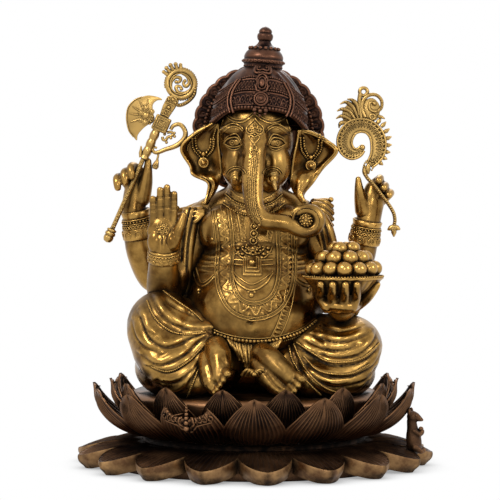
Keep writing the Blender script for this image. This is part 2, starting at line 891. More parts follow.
@dataclass
class Pedestal:
    """The double lotus that the figure sits on.

    Attributes:
        lower_petals: How many petals the flat tier has.
        upper_petals: How many petals each upper row has.
        lower_turn: The angle that the flat tier is turned by, in degrees.
        ribs: How many ribs an upper petal has.
        grooves: How many grooves a lower petal has.
        valley: How far the outline falls back between two lower petals.
        waist: The drum's radius at its foot.
        drum: The corners of the construction's drum.
        tier: The corners of its lower tier.
        outer: The corners of its outer row of petals.
        inner: The corners of its inner row.
    """

    lower_petals: int = 18
    upper_petals: int = 15
    lower_turn: float = 4.0
    ribs: int = 15
    grooves: int = 11
    valley: float = 30.0
    waist: float = 104.0
    drum: tuple[Vector, Vector] = field(default_factory=lambda: corners("lotus_drum"))
    tier: tuple[Vector, Vector] = field(default_factory=lambda: corners("lower_lotus_tier"))
    outer: tuple[Vector, Vector] = field(default_factory=lambda: corners("outer_petals"))
    inner: tuple[Vector, Vector] = field(default_factory=lambda: corners("inner_petals"))

    def upper_petal(
        self,
        piece: Piece,
        angle: float,
        root: float,
        base: float,
        reach: float,
        tip: float,
        width: float,
        bow: float,
        scoop: float = 0.0,
    ) -> None:
        """Adds one cupped, ribbed petal.

        Args:
            piece: What it is added to.
            angle: Its direction in degrees.
            root: The radius of its root.
            base: The height of its root.
            reach: The radius of its tip.
            tip: The height of its tip.
            width: Its half width.
            bow: How far it bulges.
            scoop: The share of it that is missing in the middle of its rim; 0 gives a pointed petal.
        """
        turn = radians(angle)
        out = Vector((cos(turn), sin(turn), 0))
        side = Vector((-sin(turn), cos(turn), 0))
        fall, power = (4.0, 0.55) if scoop else (2.5, 0.74)

        def place(across: float, along: float) -> Vector:
            """Finds a place on the petal.

            Args:
                across: The share of the way from side to side.
                along: The share of the way from root to tip.

            Returns:
                The place.
            """
            s = 2 * across - 1
            along *= 1 - scoop * (1 - 0.55 * s * s)
            swing = radians(12 + 74 * along)
            r = root + (reach - root) * sin(swing) / sin(radians(86))
            z = base + (tip - base) * (1 - cos(swing)) / (1 - cos(radians(86)))
            r -= 5.5 * smoothstep(0.72, 1.0, along) * (1 - abs(s)) * 0.4
            half = width * (0.5 + 0.5 * smoothstep(-0.15, 0.5, along)) * (1 - along**fall) ** power
            half = max(half, 0.02)
            curl = bow * (1 - 0.45 * along)
            r -= curl * (s * s) * half / width
            z += 2.6 * abs(s) ** 3 * smoothstep(0.1, 0.6, along)
            near_tip = 1.0 if scoop else 1 - smoothstep(0.82, 0.97, along)
            rib = (
                (1 - abs(sin(pi * self.ribs * (s + 1) / 2))) ** 1.15 * smoothstep(0.0, 0.15, along)
                * (1 - abs(s) ** 6)
            )
            crest = 1.1 * exp(-((s / 0.05) ** 2)) * smoothstep(0.5, 0.95, along) * (0 if scoop else 1)
            lip = 1.3 * smoothstep(0.86, 0.98, abs(s)) * smoothstep(0.2, 0.5, along)
            grow = (1.55 * rib * (1 - 0.3 * along) + lip) * near_tip + crest
            return out * (r + grow * cos(swing * 0.6)) + side * (half * s) + Vector((0, 0, z - grow * 0.5))

        piece.patch(8 * self.ribs + 1, 26, place, 2.6)

    def lower_petal(self, top: Piece, rim: Piece, angle: float) -> None:
        """Adds one petal of the lower tier.

        Args:
            top: What its grooved top is added to.
            rim: What its thick, undercut rim is added to.
            angle: Its direction in degrees.
        """
        turn = radians(angle)
        out = Vector((cos(turn), sin(turn), 0))
        side = Vector((-sin(turn), cos(turn), 0))
        tip = self.tier[1].x - 1.5
        fan = pi / self.lower_petals

        def edge(s: float) -> float:
            """The radius of the petal's outline."""
            point = (1 - abs(s) ** 1.9) ** 0.8
            return tip - self.valley * (1 - point) + 1.6 * exp(-((s / 0.13) ** 2)) - 1.2

        def crown(s: float) -> float:
            """The height of the rim's upper edge."""
            return 13.4 + 9.5 * abs(s) ** 1.7

        def upper(across: float, along: float) -> Vector:
            """Finds a place on the petal's top.

            Args:
                across: The share of the way from side to side.
                along: The share of the way from root to rim.

            Returns:
                The place.
            """
            s = 2 * across - 1
            r = blend(106, edge(s) - 0.6, along)
            z = blend(self.tier[1].z - 4.5, crown(s), along**1.35) + 1.5 * sin(pi * along) * (1 - s * s)
            groove = (1 - abs(sin(pi * self.grooves * (s + 1) / 2))) * smoothstep(0.1, 0.4, along)
            z += 1.25 * groove * (1 - smoothstep(0.93, 1.0, along)) + 0.9 * smoothstep(0.95, 1.0, along) - 0.9
            return out * (r * cos(fan * s)) + side * (r * sin(fan * s)) + Vector((0, 0, z))

        def face(across: float, along: float) -> Vector:
            """Finds a place on the petal's rim.

            Args:
                across: The share of the way from side to side.
                along: The share of the way down.

            Returns:
                The place.
            """
            s = 2 * across - 1
            low = 8.5 * abs(s) ** 2.2
            r = edge(s) + 1.3 * sin(pi * min(1.0, along * 1.25)) - 7.5 * along**1.7
            z = blend(crown(s), low, along) + 0.25 * sin(23 * across + 5 * angle) * sin(9 * along)
            return out * (r * cos(fan * s)) + side * (r * sin(fan * s)) + Vector((0, 0, z))

        top.patch(8 * self.grooves + 1, 24, upper)
        rim.patch(33, 12, face)

    def relief_petal(self, piece: Piece, angle: float) -> None:
        """Lays foliage and a bead spire on a petal.

        Args:
            piece: The row that the petal is in.
            angle: The petal's direction in degrees.
        """
        turn = radians(angle)
        out = Vector((cos(turn), sin(turn), 0))
        side = Vector((-sin(turn), cos(turn), 0))
        skin = Skin(piece.mesh)

        def spot(across: float, rise: float, lift: float = 0.6) -> Optional[Vector]:
            """A place on the petal's outer face."""
            found = skin.cast(out * 300 + side * across + Vector((0, 0, rise)), -out)
            return found[0] + found[1] * lift if found else None

        def lay(points: Sequence[Point]) -> list[Vector]:
            """Lays a line of (across, height) points on the petal."""
            return [place for place in (spot(*p[:2]) for p in curve_through(points, 4)) if place]

        foot = spot(0, 56, 0.8)
        for rise, size in (
            (-5.5, 2.9), (0, 2.6), (4.4, 2.3), (8.2, 1.9), (11.6, 1.6), (14.6, 1.3), (17, 1.0)
        ):
            if foot:
                piece.bead(foot + Vector((0, 0, rise)), size)
        for flip in (-1, 1):
            piece.wire(lay([(flip * 2, 51), (flip * 7, 54), (flip * 7, 59), (flip * 2, 60)]), 1.3)
            piece.wire(lay([(flip * 2, 47), (flip * 5, 48), (flip * 10, 53), (flip * 24, 57)]), 1.1)
            for across in (8, 13, 18, 23):
                curl = [
                    (flip * (across + a), 57 + 0.15 * across + b)
                    for a, b in ((0, 3), (2.4, 0.6), (1.2, -2.2), (-1.2, -1.4), (-0.8, 0.4))
                ]
                piece.wire(lay(curl), 0.8)

    def build(self) -> None:
        """Builds and dresses the pedestal's pieces."""
        tier = Piece("lower_tier")
        rims = Piece("lower_tier_rims")
        for i in range(self.lower_petals):
            self.lower_petal(tier, rims, -90 + self.lower_turn + i * 360 / self.lower_petals)
        wall = self.tier[1].x - self.valley
        tier.turned(
            [
                (wall - 6, 0.0), (wall - 5, 10), (wall - 4, 20), (112, 24), (92, 24), (92, 29), (112, 29.5),
                (112, 25),
            ]
        )
        done(tier, Metal.PEDESTAL, ["lower_lotus_tier"])
        rims.finish(WORN.material(), Metal.PEDESTAL.value)

        pitch = 360 / self.upper_petals
        outer = Piece("outer_petal_row")
        reach = self.outer[1].x
        for i in range(self.upper_petals):
            scoop = 0.3 if i == self.upper_petals - 1 else 0.0
            self.upper_petal(
                outer, -90 + i * pitch, 101, self.outer[0].z + 0.5, reach - 1, self.outer[1].z, 34.5, 13,
                scoop,
            )
        self.relief_petal(outer, -90 - pitch)
        done(outer, Metal.PEDESTAL, ["outer_petals"])

        inner = Piece("inner_petal_row")
        reach = self.inner[1].x
        for i in range(self.upper_petals):
            self.upper_petal(
                inner, -90 + (i + 0.5) * pitch, 100, self.inner[0].z, reach - 1, self.inner[1].z, 29.5, 10
            )
        done(inner, Metal.PEDESTAL, ["inner_petals"])

        deck = Piece("deck")
        edge = self.drum[1].x

        def top(across: float, along: float) -> Vector:
            """Finds a place on the deck.

            Args:
                across: The share of the way round.
                along: The share of the way from the stud's hole to the edge.

            Returns:
                The place.
            """
            turn = 2 * pi * across
            r = blend(4.2, edge - 8.9, along)
            rough = (
                0.5 * sin(7 * turn + 0.13 * r) + 0.4 * sin(13 * turn - 0.21 * r)
                + 0.3 * sin(23 * turn + 0.4 * r)
            )
            return Vector(
                (r * cos(turn), r * sin(turn), DECK - 0.5 + 0.5 * rough * smoothstep(0.2, 0.5, along))
            )

        deck.patch(181, 40, top)
        deck.turned(
            [
                (edge - 9, DECK - 0.4), (edge - 4, DECK - 2.5), (edge - 1, DECK - 7), (self.waist + 6, 52),
                (self.waist, 38), (self.waist + 3, 30.2), (90, 30.2), (90, DECK - 6), (4.4, DECK - 6),
            ],
            steps=90,
        )
        done(deck, Metal.PEDESTAL, ["lotus_drum"])


# --- Torso, legs and feet --------------------------------------------------------------------------


def rope(piece: Piece, path: Sequence[Vector], radius: float, pitch: float = 2.0) -> None:
    """Lays a notched cord: a wire that swells and thins.

    Args:
        piece: What it is added to.
        path: Its path.
        radius: Its mean radius.
        pitch: How far apart its swells are.
    """
    fine = spaced(path, pitch / 4)
    swell = (1.22, 1.0, 0.68, 1.0)
    piece.wire(fine, [radius * swell[i % 4] for i in range(len(fine))])


def band(
    piece: Piece,
    skin: Skin,
    path: Sequence[Point],
    half_width: float,
    relief: Callable[[float, float], float],
    step: float = 0.9,
) -> None:
    """Lays an ornamented ribbon on a skin, seen from the front.

    Args:
        piece: What it is added to.
        skin: What it lies on.
        path: Its middle line, (x, z).
        half_width: Half its width.
        relief: Its height from millimetres along and from -1 to 1 across.
        step: The size of its facets.
    """
    line = spaced([Vector((p[0], p[1], 0)) for p in path], step)
    columns = max(5, round(2 * half_width / step)) + 1
    sheet = bmesh.new()
    rows = []
    for i, spot in enumerate(line):
        run = line[min(i + 1, len(line) - 1)] - line[max(i - 1, 0)]
        side = Vector((-run.y, run.x, 0)).normalized()
        row = []
        for j in range(columns):
            across = 2 * j / (columns - 1) - 1
            place = spot + side * across * half_width
            found = skin.front(place.x, place.y)
            if found is None:
                row.append(None)
                continue
            edge = j in (0, columns - 1) or i in (0, len(line) - 1)
            lift = -0.8 if edge else relief(i * step, across)
            row.append(sheet.verts.new(found[0] + found[1] * lift))
        rows.append(row)
    for first, second in zip(rows, rows[1:]):
        for a, b, c, d in zip(first, first[1:], second[1:], second):
            if a and b and c and d and (a.co - c.co).length < 6 * step:
                sheet.faces.new((a, b, c, d))
    loose = [v for v in sheet.verts if not v.link_faces]
    bmesh.ops.delete(sheet, geom=loose, context="VERTS")
    sheet.normal_update()
    if sheet.faces and sum(f.normal.y for f in sheet.faces) > 0:
        bmesh.ops.reverse_faces(sheet, faces=sheet.faces)
    piece.take(sheet)


def scroll_relief(pitch: float, height: float, rim: float = 0.8) -> Callable[[float, float], float]:
    """Gives a running scroll between two raised borders.

    Args:
        pitch: How far apart its turns are.
        height: How high it stands.
        rim: The share of that height that is kept.

    Returns:
        Its height from millimetres along and from -1 to 1 across.
    """

    def relief(along: float, across: float) -> float:
        """Gives the height at a place on the ribbon.

        Args:
            along: Millimetres along it.
            across: From -1 at one edge to 1 at the other.

        Returns:
            The height.
        """
        border = height * (smoothstep(0.78, 0.86, abs(across)) - 0.5 * smoothstep(0.95, 1.0, abs(across)))
        turn = 2 * pi * along / pitch
        wave = 0.42 * sin(turn)
        stem = exp(-(((across - wave) / 0.16) ** 2))
        eye = exp(-((((along / pitch * 2) % 1 - 0.5) / 0.16) ** 2) - (((across + wave) / 0.3) ** 2))
        leaf = 0.5 + 0.5 * cos(3 * turn + 5 * across)
        ground = 0.12 * height
        inside = (abs(across) < 0.8) * height * max(ground, 0.95 * stem, 0.9 * eye, 0.45 * leaf * (1 - stem))
        return rim * max(border, inside) + 0.25

    return relief


def tooth_relief(pitch: float, height: float) -> Callable[[float, float], float]:
    """Gives a row of pointed teeth beside a plain border.

    Args:
        pitch: How far apart the teeth are.
        height: How high they stand.

    Returns:
        Its height from millimetres along and from -1 to 1 across.
    """

    def relief(along: float, across: float) -> float:
        """Gives the height at a place on the ribbon.

        Args:
            along: Millimetres along it.
            across: From -1 at one edge to 1 at the other.

        Returns:
            The height.
        """
        border = smoothstep(0.76, 0.86, abs(across))
        share = abs(((along / pitch) % 1) - 0.5) * 2
        tooth = smoothstep(-0.1, 0.15, 0.7 - share - 0.5 * (across + 0.7))
        dot = exp(-(((along / pitch) % 1) / 0.14) ** 2 - ((across - 0.25) / 0.2) ** 2)
        return height * max(border, 0.85 * tooth, dot) + 0.2

    return relief


@dataclass
class Torso:
    """The bare chest and belly with its bands, threads and belt.

    Attributes:
        belly: The belly's half sizes.
    """

    belly: tuple[float, float, float] = (69.0, 70.0, 62.0)

    def sculpt(self) -> bmesh.types.BMesh:
        """Presses the torso together."""
        clay = Clay()
        clay.ball((0, -18, DECK + 80), self.belly)
        clay.ball((0, -8, DECK + 108), (64, 56, 50))
        clay.ball((0, -2, DECK + 148), (59, 40, 46))
        for side in (-1, 1):
            clay.ball((side * 27, -19, DECK + 158), (29, 23, 27))
            clay.ball((side * 50, 6, DECK + 170), (20, 21, 19))
            clay.chain([(side * 14, 2, DECK + 184, 24), (side * 44, 5, DECK + 174, 19)])
            clay.ball((side * 34, 10, DECK + 26), (44, 44, 34))
        clay.chain([(0, 2, DECK + 172, 34), (0, -4, DECK + 190, 29), (1, -8, DECK + 212, 25)])
        clay.ball((0, 8, DECK + 24), (72, 52, 36))
        skin = clay.skin(1.5, 8)
        strokes = [
            Stroke(traced([(-66, rise + 3), (-52, rise + 0.5), (-33, rise - 1)], 6), ridge(1.3, 1.5))
            for rise in (135, 129.5, 125, 120.5)
        ]
        strokes += [
            Stroke(risen([(30, rise - 1), (48, rise + 0.5), (64, rise + 3)]), ridge(1.3, 1.5))
            for rise in (135, 129.5, 125, 120.5)
        ]
        strokes += [
            Stroke(traced([(-62, 152), (-48, 141), (-36, 143), (-30, 152)], 6), ridge(-1.6, 4), 12),
            Stroke(traced([(62, 152), (48, 141), (36, 143), (30, 152)], 6), ridge(-1.6, 4), 12),
            Stroke(traced([(-10, 73), (-4, 76.5), (3, 73)], 6), ridge(0.8, 1.1)),
            Stroke(risen([(-7, 70.5), (-4, 72.2), (0, 70.5)]), ridge(-1.6, 1.4)),
            Stroke(risen([(-4.4, 68.6), (-3.8, 70)]), ridge(-2.2, 2.2), 6),
        ]
        carve(skin, strokes, front_view, seen_from_front)
        return skin

    def loops(self, piece: Piece, skin: Skin) -> None:
        """Lays the two hanging strings, their drops and the belly's crescent.

        Args:
            piece: What they are added to.
            skin: What they lie on.
        """
        for side in (-1, 1):
            for sag, inset in ((0.0, 0.0), (4.4, 4.2)):
                curve = [
                    (-60 + inset * 0.7, 123), (-58.5 + inset, 113 + 0.4 * sag),
                    (-53 + 0.4 * inset, 106 + sag * 0.7), (-45, 109 + sag * 0.7),
                    (-35 - 0.2 * inset, 119.5 + 0.2 * sag),
                ]
                laid = skin.lay(risen((-side * p.x, p.y) for p in curve_through(curve, 6)), 0.3)
                piece.wire(laid, 0.95)
            drop = skin.lay(risen([(side * 53.5, 102)]), 0.8)
            for spot in drop:
                piece.bead(spot, 2.3)
                piece.bead(spot - Vector((0, 0.4, 2.6)), 1.3)
        for lift, wide in ((0.0, 1.25), (5.6, 0.8)):
            arc = [
                (-21.5, 120.5 + 0.3 * lift), (-15.5 + 0.1 * lift, 110 + lift), (-2.5, 103.5 + lift),
                (10.5, 109.5 + lift), (18, 119.5 + 0.3 * lift),
            ]
            piece.trace(skin, arc, 0.25, wide)
        for x, rise, size in ((-2.6, 98.5, 2.6), (-5.4, 101.6, 1.3), (0.4, 101.6, 1.3)):
            for spot in skin.lay(risen([(x, rise)]), 0.2):
                piece.bead(spot, size, 0.6, Vector((0, 1, 0.1)))
        for x, rise in ((-41, 152), (41, 152)):
            for spot in skin.lay(risen([(x, rise)]), 0.2):
                piece.bead(spot, 2.0)

    def build(self) -> None:
        """Builds and dresses the torso's pieces."""
        form = self.sculpt()
        skin = Skin(form)
        body = Piece("torso_casting")
        body.take(form)
        self.loops(body, skin)
        done(body, Metal.BODY, ["torso"])

        sash = Piece("sash")
        centre = [
            (-32, 180), (-29.5, 160), (-28, 140), (-29, 124), (-27.5, 108), (-21, 93.5), (-12, 86.2),
            (0, 83.5), (12, 86), (21.5, 92.5), (28, 104), (31, 120), (31, 140), (30.5, 158), (31, 176),
        ]
        line = traced(centre, 8)
        band(sash, skin, line, 8.2, scroll_relief(13, 1.25), 0.75)
        for offset in (-8.6, 8.6, -5.9, 5.9):
            moved = []
            for a, b in zip(line, line[1:]):
                run = Vector((b[0] - a[0], b[1] - a[1])).normalized()
                moved.append((a[0] - run.y * offset, a[1] + run.x * offset))
            lift, wide = (0.9, 0.8) if abs(offset) > 7 else (1.0, 0.55)
            sash.wire(skin.lay(moved, lift), wide)
        for shift in (-42, -53):
            top = [(shift + 9, 184), (shift + 12.5, 168), (shift + 14, 150)]
            sash.trace(skin, top, 0.3, 0.8, 6)
        for x in (-19, -12, 17):
            strip = [(x * 1.1 - 2, 186), (x, 168), (x * 0.85, 148)]
            band(sash, skin, traced(strip, 8), 3.6, scroll_relief(7, 1.0), 0.75)
        done(sash, Metal.WRAP, ["chest_sash"])

        collar = Piece("necklaces")

        def hung(rise: float, reach: float) -> list[tuple[float, float]]:
            """The line of a necklace that hangs across the chest."""
            hang = ((-1, 7), (-0.6, -1), (0, -5), (0.6, -1), (1, 7))
            return traced([(reach * share, rise + drop) for share, drop in hang], 8)

        for rise, reach, wide, pitch in ((193, 27, 3.4, 5), (184.5, 30, 3.8, 7)):
            band(collar, skin, hung(rise, reach), wide, scroll_relief(pitch, 1.1), 0.75)
        for rise, reach in ((188.7, 28), (179.4, 31)):
            collar.beads(skin.lay(hung(rise, reach), 0.7), 1.0, 2.2)
        done(collar, Metal.WRAP)

        plaque = Piece("chest_ornament")
        self.plaque(plaque, skin)
        done(plaque, Metal.WRAP, ["chest_plaque"])

        thread = Piece("thread")
        run = [(37, 168), (37.5, 140), (37, 118), (35, 104), (32, 88), (26, 70), (18, 54), (13, 46)]
        band(thread, skin, traced(run, 7), 3.9, tooth_relief(4.6, 0.9), 0.75)
        for shift in (-4.2, 4.2):
            thread.wire(skin.lay(risen([(p[0] + shift, p[1]) for p in curve_through(run, 7)]), 0.4), 0.7)
        done(thread, Metal.WRAP)
        self.belt(skin)

    def plaque(self, piece: Piece, skin: Skin) -> None:
        """Lays the stepped square, its collar fan and the pendant above it.

        Args:
            piece: What they are added to.
            skin: What they lie on.
        """

        def inset(share: float) -> float:
            """Draws the grid's inner lines away from the two at its rim.

            Args:
                share: A line's even place, from 0 to 1.

            Returns:
                Its new place.
            """
            if share < 0.03 or share > 0.97:
                return float(round(share))
            return 0.02 + 0.96 * (share - 0.0625) / 0.875

        for half, low, high, lift in ((9.4, 117, 134, 1.2), (7.2, 119.5, 134.5, 2.2), (4.6, 122.5, 133, 3.0)):

            def plate(u: float, v: float) -> Vector:
                """Finds a place on one step of the square, sunk into the skin at its rim.

                Args:
                    u: The share of the way from side to side.
                    v: The share of the way up.

                Returns:
                    The place.
                """
                across, along = inset(u), inset(v)
                found = skin.front(blend(-half - 2, half - 2, across), DECK + blend(low, high, along))
                inside = min(across, 1 - across, along, 1 - along) > 0.01
                return found[0] + found[1] * (lift if inside else -0.6)

            piece.patch(17, 17, plate)
        spot = skin.front(-2, DECK + 127)
        piece.bead(spot[0] + spot[1] * 3.2, 3.0, 0.6, Vector((0, 1, 0)))
        for i in range(11):
            turn = radians(200 + 14 * i)
            reach = 13.5 + 1.5 * (i % 2)
            for far in (reach, reach - 4.5, reach - 8):
                for place in skin.lay([(-1 + 1.15 * far * cos(turn), DECK + 147 + far * sin(turn))], 0.9):
                    piece.bead(place, 1.75 if far == reach else 1.25)
        for far in (16.5, 10.5, 7.0):
            arc = [
                (-1 + 1.15 * far * cos(a), DECK + 147.5 + far * sin(a))
                for a in np.linspace(radians(192), radians(348), 22)
            ]
            piece.wire(skin.lay(arc, 0.6), 0.8)
        for rise in (142, 150, 157, 164, 171):
            place = skin.front(-1 + 0.05 * rise - 7, DECK + rise)
            piece.bead(place[0] + place[1] * 1.0, 2.1)
            piece.ring(place[0] + place[1] * 0.9, 3.3, 0.7, place[1])
        for side in (-1, 1):
            for rise in (137, 131.5, 127):
                line = [(side * 9 - 2, rise), (side * 19 - 1, rise + 0.6)]
                piece.wire(skin.lay(risen(line), 0.2), 1.0)

    def belt(self, skin: Skin) -> None:
        """Hangs the beaded belt, the pleats under it and the bow.

        Args:
            skin: The torso's surface.
        """
        belt = Piece("belt")
        run = [
            (-62, 79), (-52, 70), (-38, 62), (-22, 57.2), (-4, 54.8), (14, 55.2), (32, 58.5), (46, 63.5),
            (60, 72),
        ]
        laid = skin.lay(traced(run, 8), 1.2)
        belt.beads(laid, 2.0, 3.7)
        low = skin.lay(risen([(p[0], p[1] - 3.4) for p in curve_through(run, 8)]), 0.6)
        belt.beads(low, 1.0, 2.2)
        upper = skin.lay(risen([(p[0], p[1] + 2.4) for p in curve_through(run, 8)]), 0.2)
        belt.wire(upper, 0.7)
        done(belt, Metal.WRAP, ["waist_belt"])

        pleats = Piece("pleats")
        rng = random.Random(4)
        for i in range(19):
            share = i / 18
            x = blend(-27, 28, share)
            top = skin.front(x, DECK + 52 + 6 * (2 * share - 1) ** 2)[0] + Vector((0, 3, 0))
            fall = blend(27, 15, abs(2 * share - 1)) + rng.uniform(-2, 2)
            end = top + Vector(((x + 2) * -0.38, -7 + rng.uniform(-1, 1), -fall))
            middle_spot = top.lerp(end, 0.5) + Vector((rng.uniform(-1, 1), -4.5, 0))
            path = curve_through([top + Vector((0, 0, 1)), middle_spot, end], 6)
            pleats.wire(
                path, [blend(2.3, 1.5, j / (len(path) - 1)) + 0.4 * (j % 3 == 0) for j in range(len(path))]
            )
            pleats.bead(end, 1.8)
        for side in (-1, 1):
            for sweep in (4.0, 8.0, 12.0):
                path = curve_through(
                    [
                        (0, -104, DECK + 27), (side * 0.6 * sweep, -107, DECK + 25 + 0.3 * sweep),
                        (side * sweep, -104, DECK + 22 + 0.1 * sweep),
                    ],
                    5,
                )
                pleats.wire(path, 1.5)
        pleats.bead((0, -106, DECK + 24), 3.0)
        done(pleats, Metal.BODY, ["front_pleats"])


class Legs:
    """The folded legs in their loose wrap, and the bare feet."""

    def clay(self, side: int, forms: Sequence[Sequence[Point]], swells: Sequence[Point]) -> bmesh.types.BMesh:
        """Presses one leg together.

        Args:
            side: -1 for the figure's right leg and 1 for its left one.
            forms: Its limbs' joints, (x outwards, y, rise, radius) each.
            swells: Its swells, (x outwards, y, rise) and three half sizes each.

        Returns:
            The leg's skin, cut flat at the seat.
        """
        clay = Clay()
        for chain in forms:
            clay.chain([(side * x, y, DECK + rise, r) for x, y, rise, r in chain], 3)
        for x, y, rise, a, b, c in swells:
            clay.ball((side * x, y, DECK + rise), (a, b, c))
        skin = clay.skin(1.5, 8)
        cut = bmesh.ops.bisect_plane(
            skin, geom=[*skin.verts, *skin.edges, *skin.faces], plane_co=(0, 0, DECK - 1.5),
            plane_no=(0, 0, 1), clear_inner=True,
        )
        rim = [g for g in cut["geom_cut"] if isinstance(g, bmesh.types.BMEdge)]
        bmesh.ops.edgeloop_fill(skin, edges=rim)
        skin.normal_update()
        return skin

    def dress(
        self, name: str, form: bmesh.types.BMesh, folds: Sequence[Fold], hems: Sequence[Sequence[Point]],
        node: str,
    ) -> None:
        """Carves the wrap's folds, lays its corded hems and hands the leg over.

        Args:
            name: The finished piece's name.
            form: The leg's skin.
            folds: The path, the height and the width of each fold.
            hems: The path of each hem.
            node: The construction node that the leg stands for.
        """
        strokes = []
        for path, height, width in folds:
            line = traced(path, 8)
            strokes.append(Stroke(line, fold(height, width), 3.2 * abs(width)))
        carve(form, strokes, front_view, seen_from_front)
        bmesh.ops.smooth_vert(
            form, verts=form.verts, factor=0.3, use_axis_x=True, use_axis_y=True, use_axis_z=True
        )
        form.normal_update()
        skin = Skin(form)
        leg = Piece(name)
        leg.take(form)
        for hem in hems:
            laid = skin.lay(traced(hem, 8), 0.2)
            rope(leg, laid, 1.15)
        done(leg, Metal.BODY, [node])

    def right(self) -> None:
        """Builds the figure's right leg, on the -X side."""
        forms = [
            [(28, -8, 36, 32), (60, -28, 54, 35), (88, -44, 66, 34)],
            [(92, -50, 62, 33), (86, -62, 38, 29), (68, -76, 20, 21), (54, -86, 15, 13)],
            [(60, -60, 28, 27), (34, -58, 28, 24)],
        ]
        swells = [(90, -44, 66, 35.5, 40, 36), (82, -40, 26, 36, 44, 30), (60, -46, 46, 34, 36, 40)]
        form = self.clay(-1, forms, swells)
        folds = [
            ([(-99, 98), (-91, 83), (-77, 71), (-63, 66), (-47, 65)], 2.3, 5.0),
            ([(-88, 98), (-81, 90), (-69, 83), (-56, 77)], 1.5, 3.6),
            ([(-118, 72), (-113, 58), (-105, 50), (-95, 45)], 2.0, 4.4),
            ([(-109, 75), (-100, 58), (-87, 50), (-73, 52), (-61, 58), (-46, 63)], 2.8, 5.6),
            ([(-106, 40), (-91, 33), (-77, 37), (-65, 44), (-55, 54), (-44, 61)], 2.8, 5.0),
            ([(-99, 30), (-83, 26), (-69, 32), (-57, 41), (-44, 55)], 2.4, 4.4),
            ([(-93, 16), (-77, 16), (-65, 23), (-53, 36), (-42, 52)], 2.6, 4.2),
            ([(-111, 83), (-105, 69), (-95, 60)], 1.6, 3.6),
            ([(-84, 4), (-70, 8), (-60, 20), (-49, 38), (-40, 50)], 2.2, 3.6),
        ]
        hems = [
            [(-104, 92), (-96, 77), (-84, 66), (-70, 61), (-47, 62.5)],
            [(-99, 30), (-83, 26), (-69, 32), (-57, 41), (-44, 56)],
            [(-64, 1), (-58, 17), (-50, 34), (-38, 48)],
            [(-88, 101), (-72, 90), (-58, 80), (-50, 73)],
        ]
        self.dress("right_leg_wrap", form, folds, hems, "right_leg")

    def left(self) -> None:
        """Builds the figure's left leg, on the +X side."""
        forms = [
            [(28, -8, 34, 32), (60, -28, 44, 33), (88, -44, 48, 31)],
            [(94, -50, 40, 30), (84, -62, 28, 26), (66, -76, 17, 19), (52, -86, 14, 13)],
            [(60, -56, 26, 26), (34, -58, 28, 22)],
        ]
        swells = [(91, -44, 47, 35.5, 42, 31), (84, -40, 20, 36, 44, 26), (60, -44, 38, 34, 36, 33)]
        form = self.clay(1, forms, swells)
        folds = [
            ([(66, 67), (85, 64), (104, 68)], 1.6, 3.2),
            ([(60, 59), (77, 54), (93, 56), (110, 62)], 2.2, 4.2),
            ([(52, 55), (69, 47), (83, 46), (97, 50)], 2.0, 4.0),
            ([(60, 43), (79, 39), (98, 42), (112, 52), (119, 63)], 2.4, 4.4),
            ([(42, 50), (55, 42), (69, 34), (85, 32), (104, 36), (120, 49)], 2.8, 4.8),
            ([(45, 37), (61, 25), (77, 21), (95, 22), (112, 30), (124, 44)], 2.8, 4.6),
            ([(51, 27), (65, 16), (81, 12), (104, 16), (118, 28)], 2.6, 4.2),
            ([(40, 42), (47, 26), (60, 11), (75, 3), (98, 5), (110, 14)], 2.2, 3.6),
        ]
        hems = [
            [(42, 52), (55, 44), (69, 36), (85, 34.5), (104, 38), (121, 51)],
            [(48, 39), (61, 27.5), (77, 23.5), (95, 24), (112, 32)],
            [(34, 48), (37, 36), (45, 23), (55, 12), (64, 3)],
            [(39, 50), (46, 34), (57, 19), (72, 8), (86, 4)],
        ]
        self.dress("left_leg_wrap", form, folds, hems, "left_leg")

    def foot(
        self, name: str, node: str, instep: Sequence[Point], heel: Sequence[Point], toes: Sequence[Toe],
        creases: Sequence[Fold],
    ) -> None:
        """Builds a bare foot with five toes.

        Args:
            name: The finished piece's name.
            node: The construction node that it stands for.
            instep: The joints along the top of the foot.
            heel: The joints along its outer side.
            toes: The root, knuckle, tip and size of each toe.
            creases: The path, the depth and the width of each crease.
        """
        clay = Clay()
        clay.chain([(x, y, DECK + rise, r) for x, y, rise, r in instep], 4)
        clay.chain([(x, y, DECK + rise, r) for x, y, rise, r in heel], 3)
        for root, knuckle, tip, size in toes:
            clay.chain(
                [
                    (*root[:2], DECK + root[2], size * 1.05), (*knuckle[:2], DECK + knuckle[2], size * 0.92),
                    (*tip[:2], DECK + tip[2], size),
                ],
                2,
            )
        skin = clay.skin(0.85, 5)
        strokes = [Stroke(traced(line, 6), ridge(-depth, wide), 7) for line, depth, wide in creases]
        carve(skin, strokes, front_view, seen_from_front)
        laid = Skin(skin)
        foot = Piece(name)
        foot.take(skin)
        for _, _, tip, size in toes:
            place, normal = laid.nearest(
                Vector((tip[0] + 0.2 * size, tip[1] - size, DECK + tip[2] + 0.9 * size))
            )
            foot.bead(place - normal * 0.35, 0.5 * size, 0.42, normal)
        done(foot, Metal.BODY, [node])

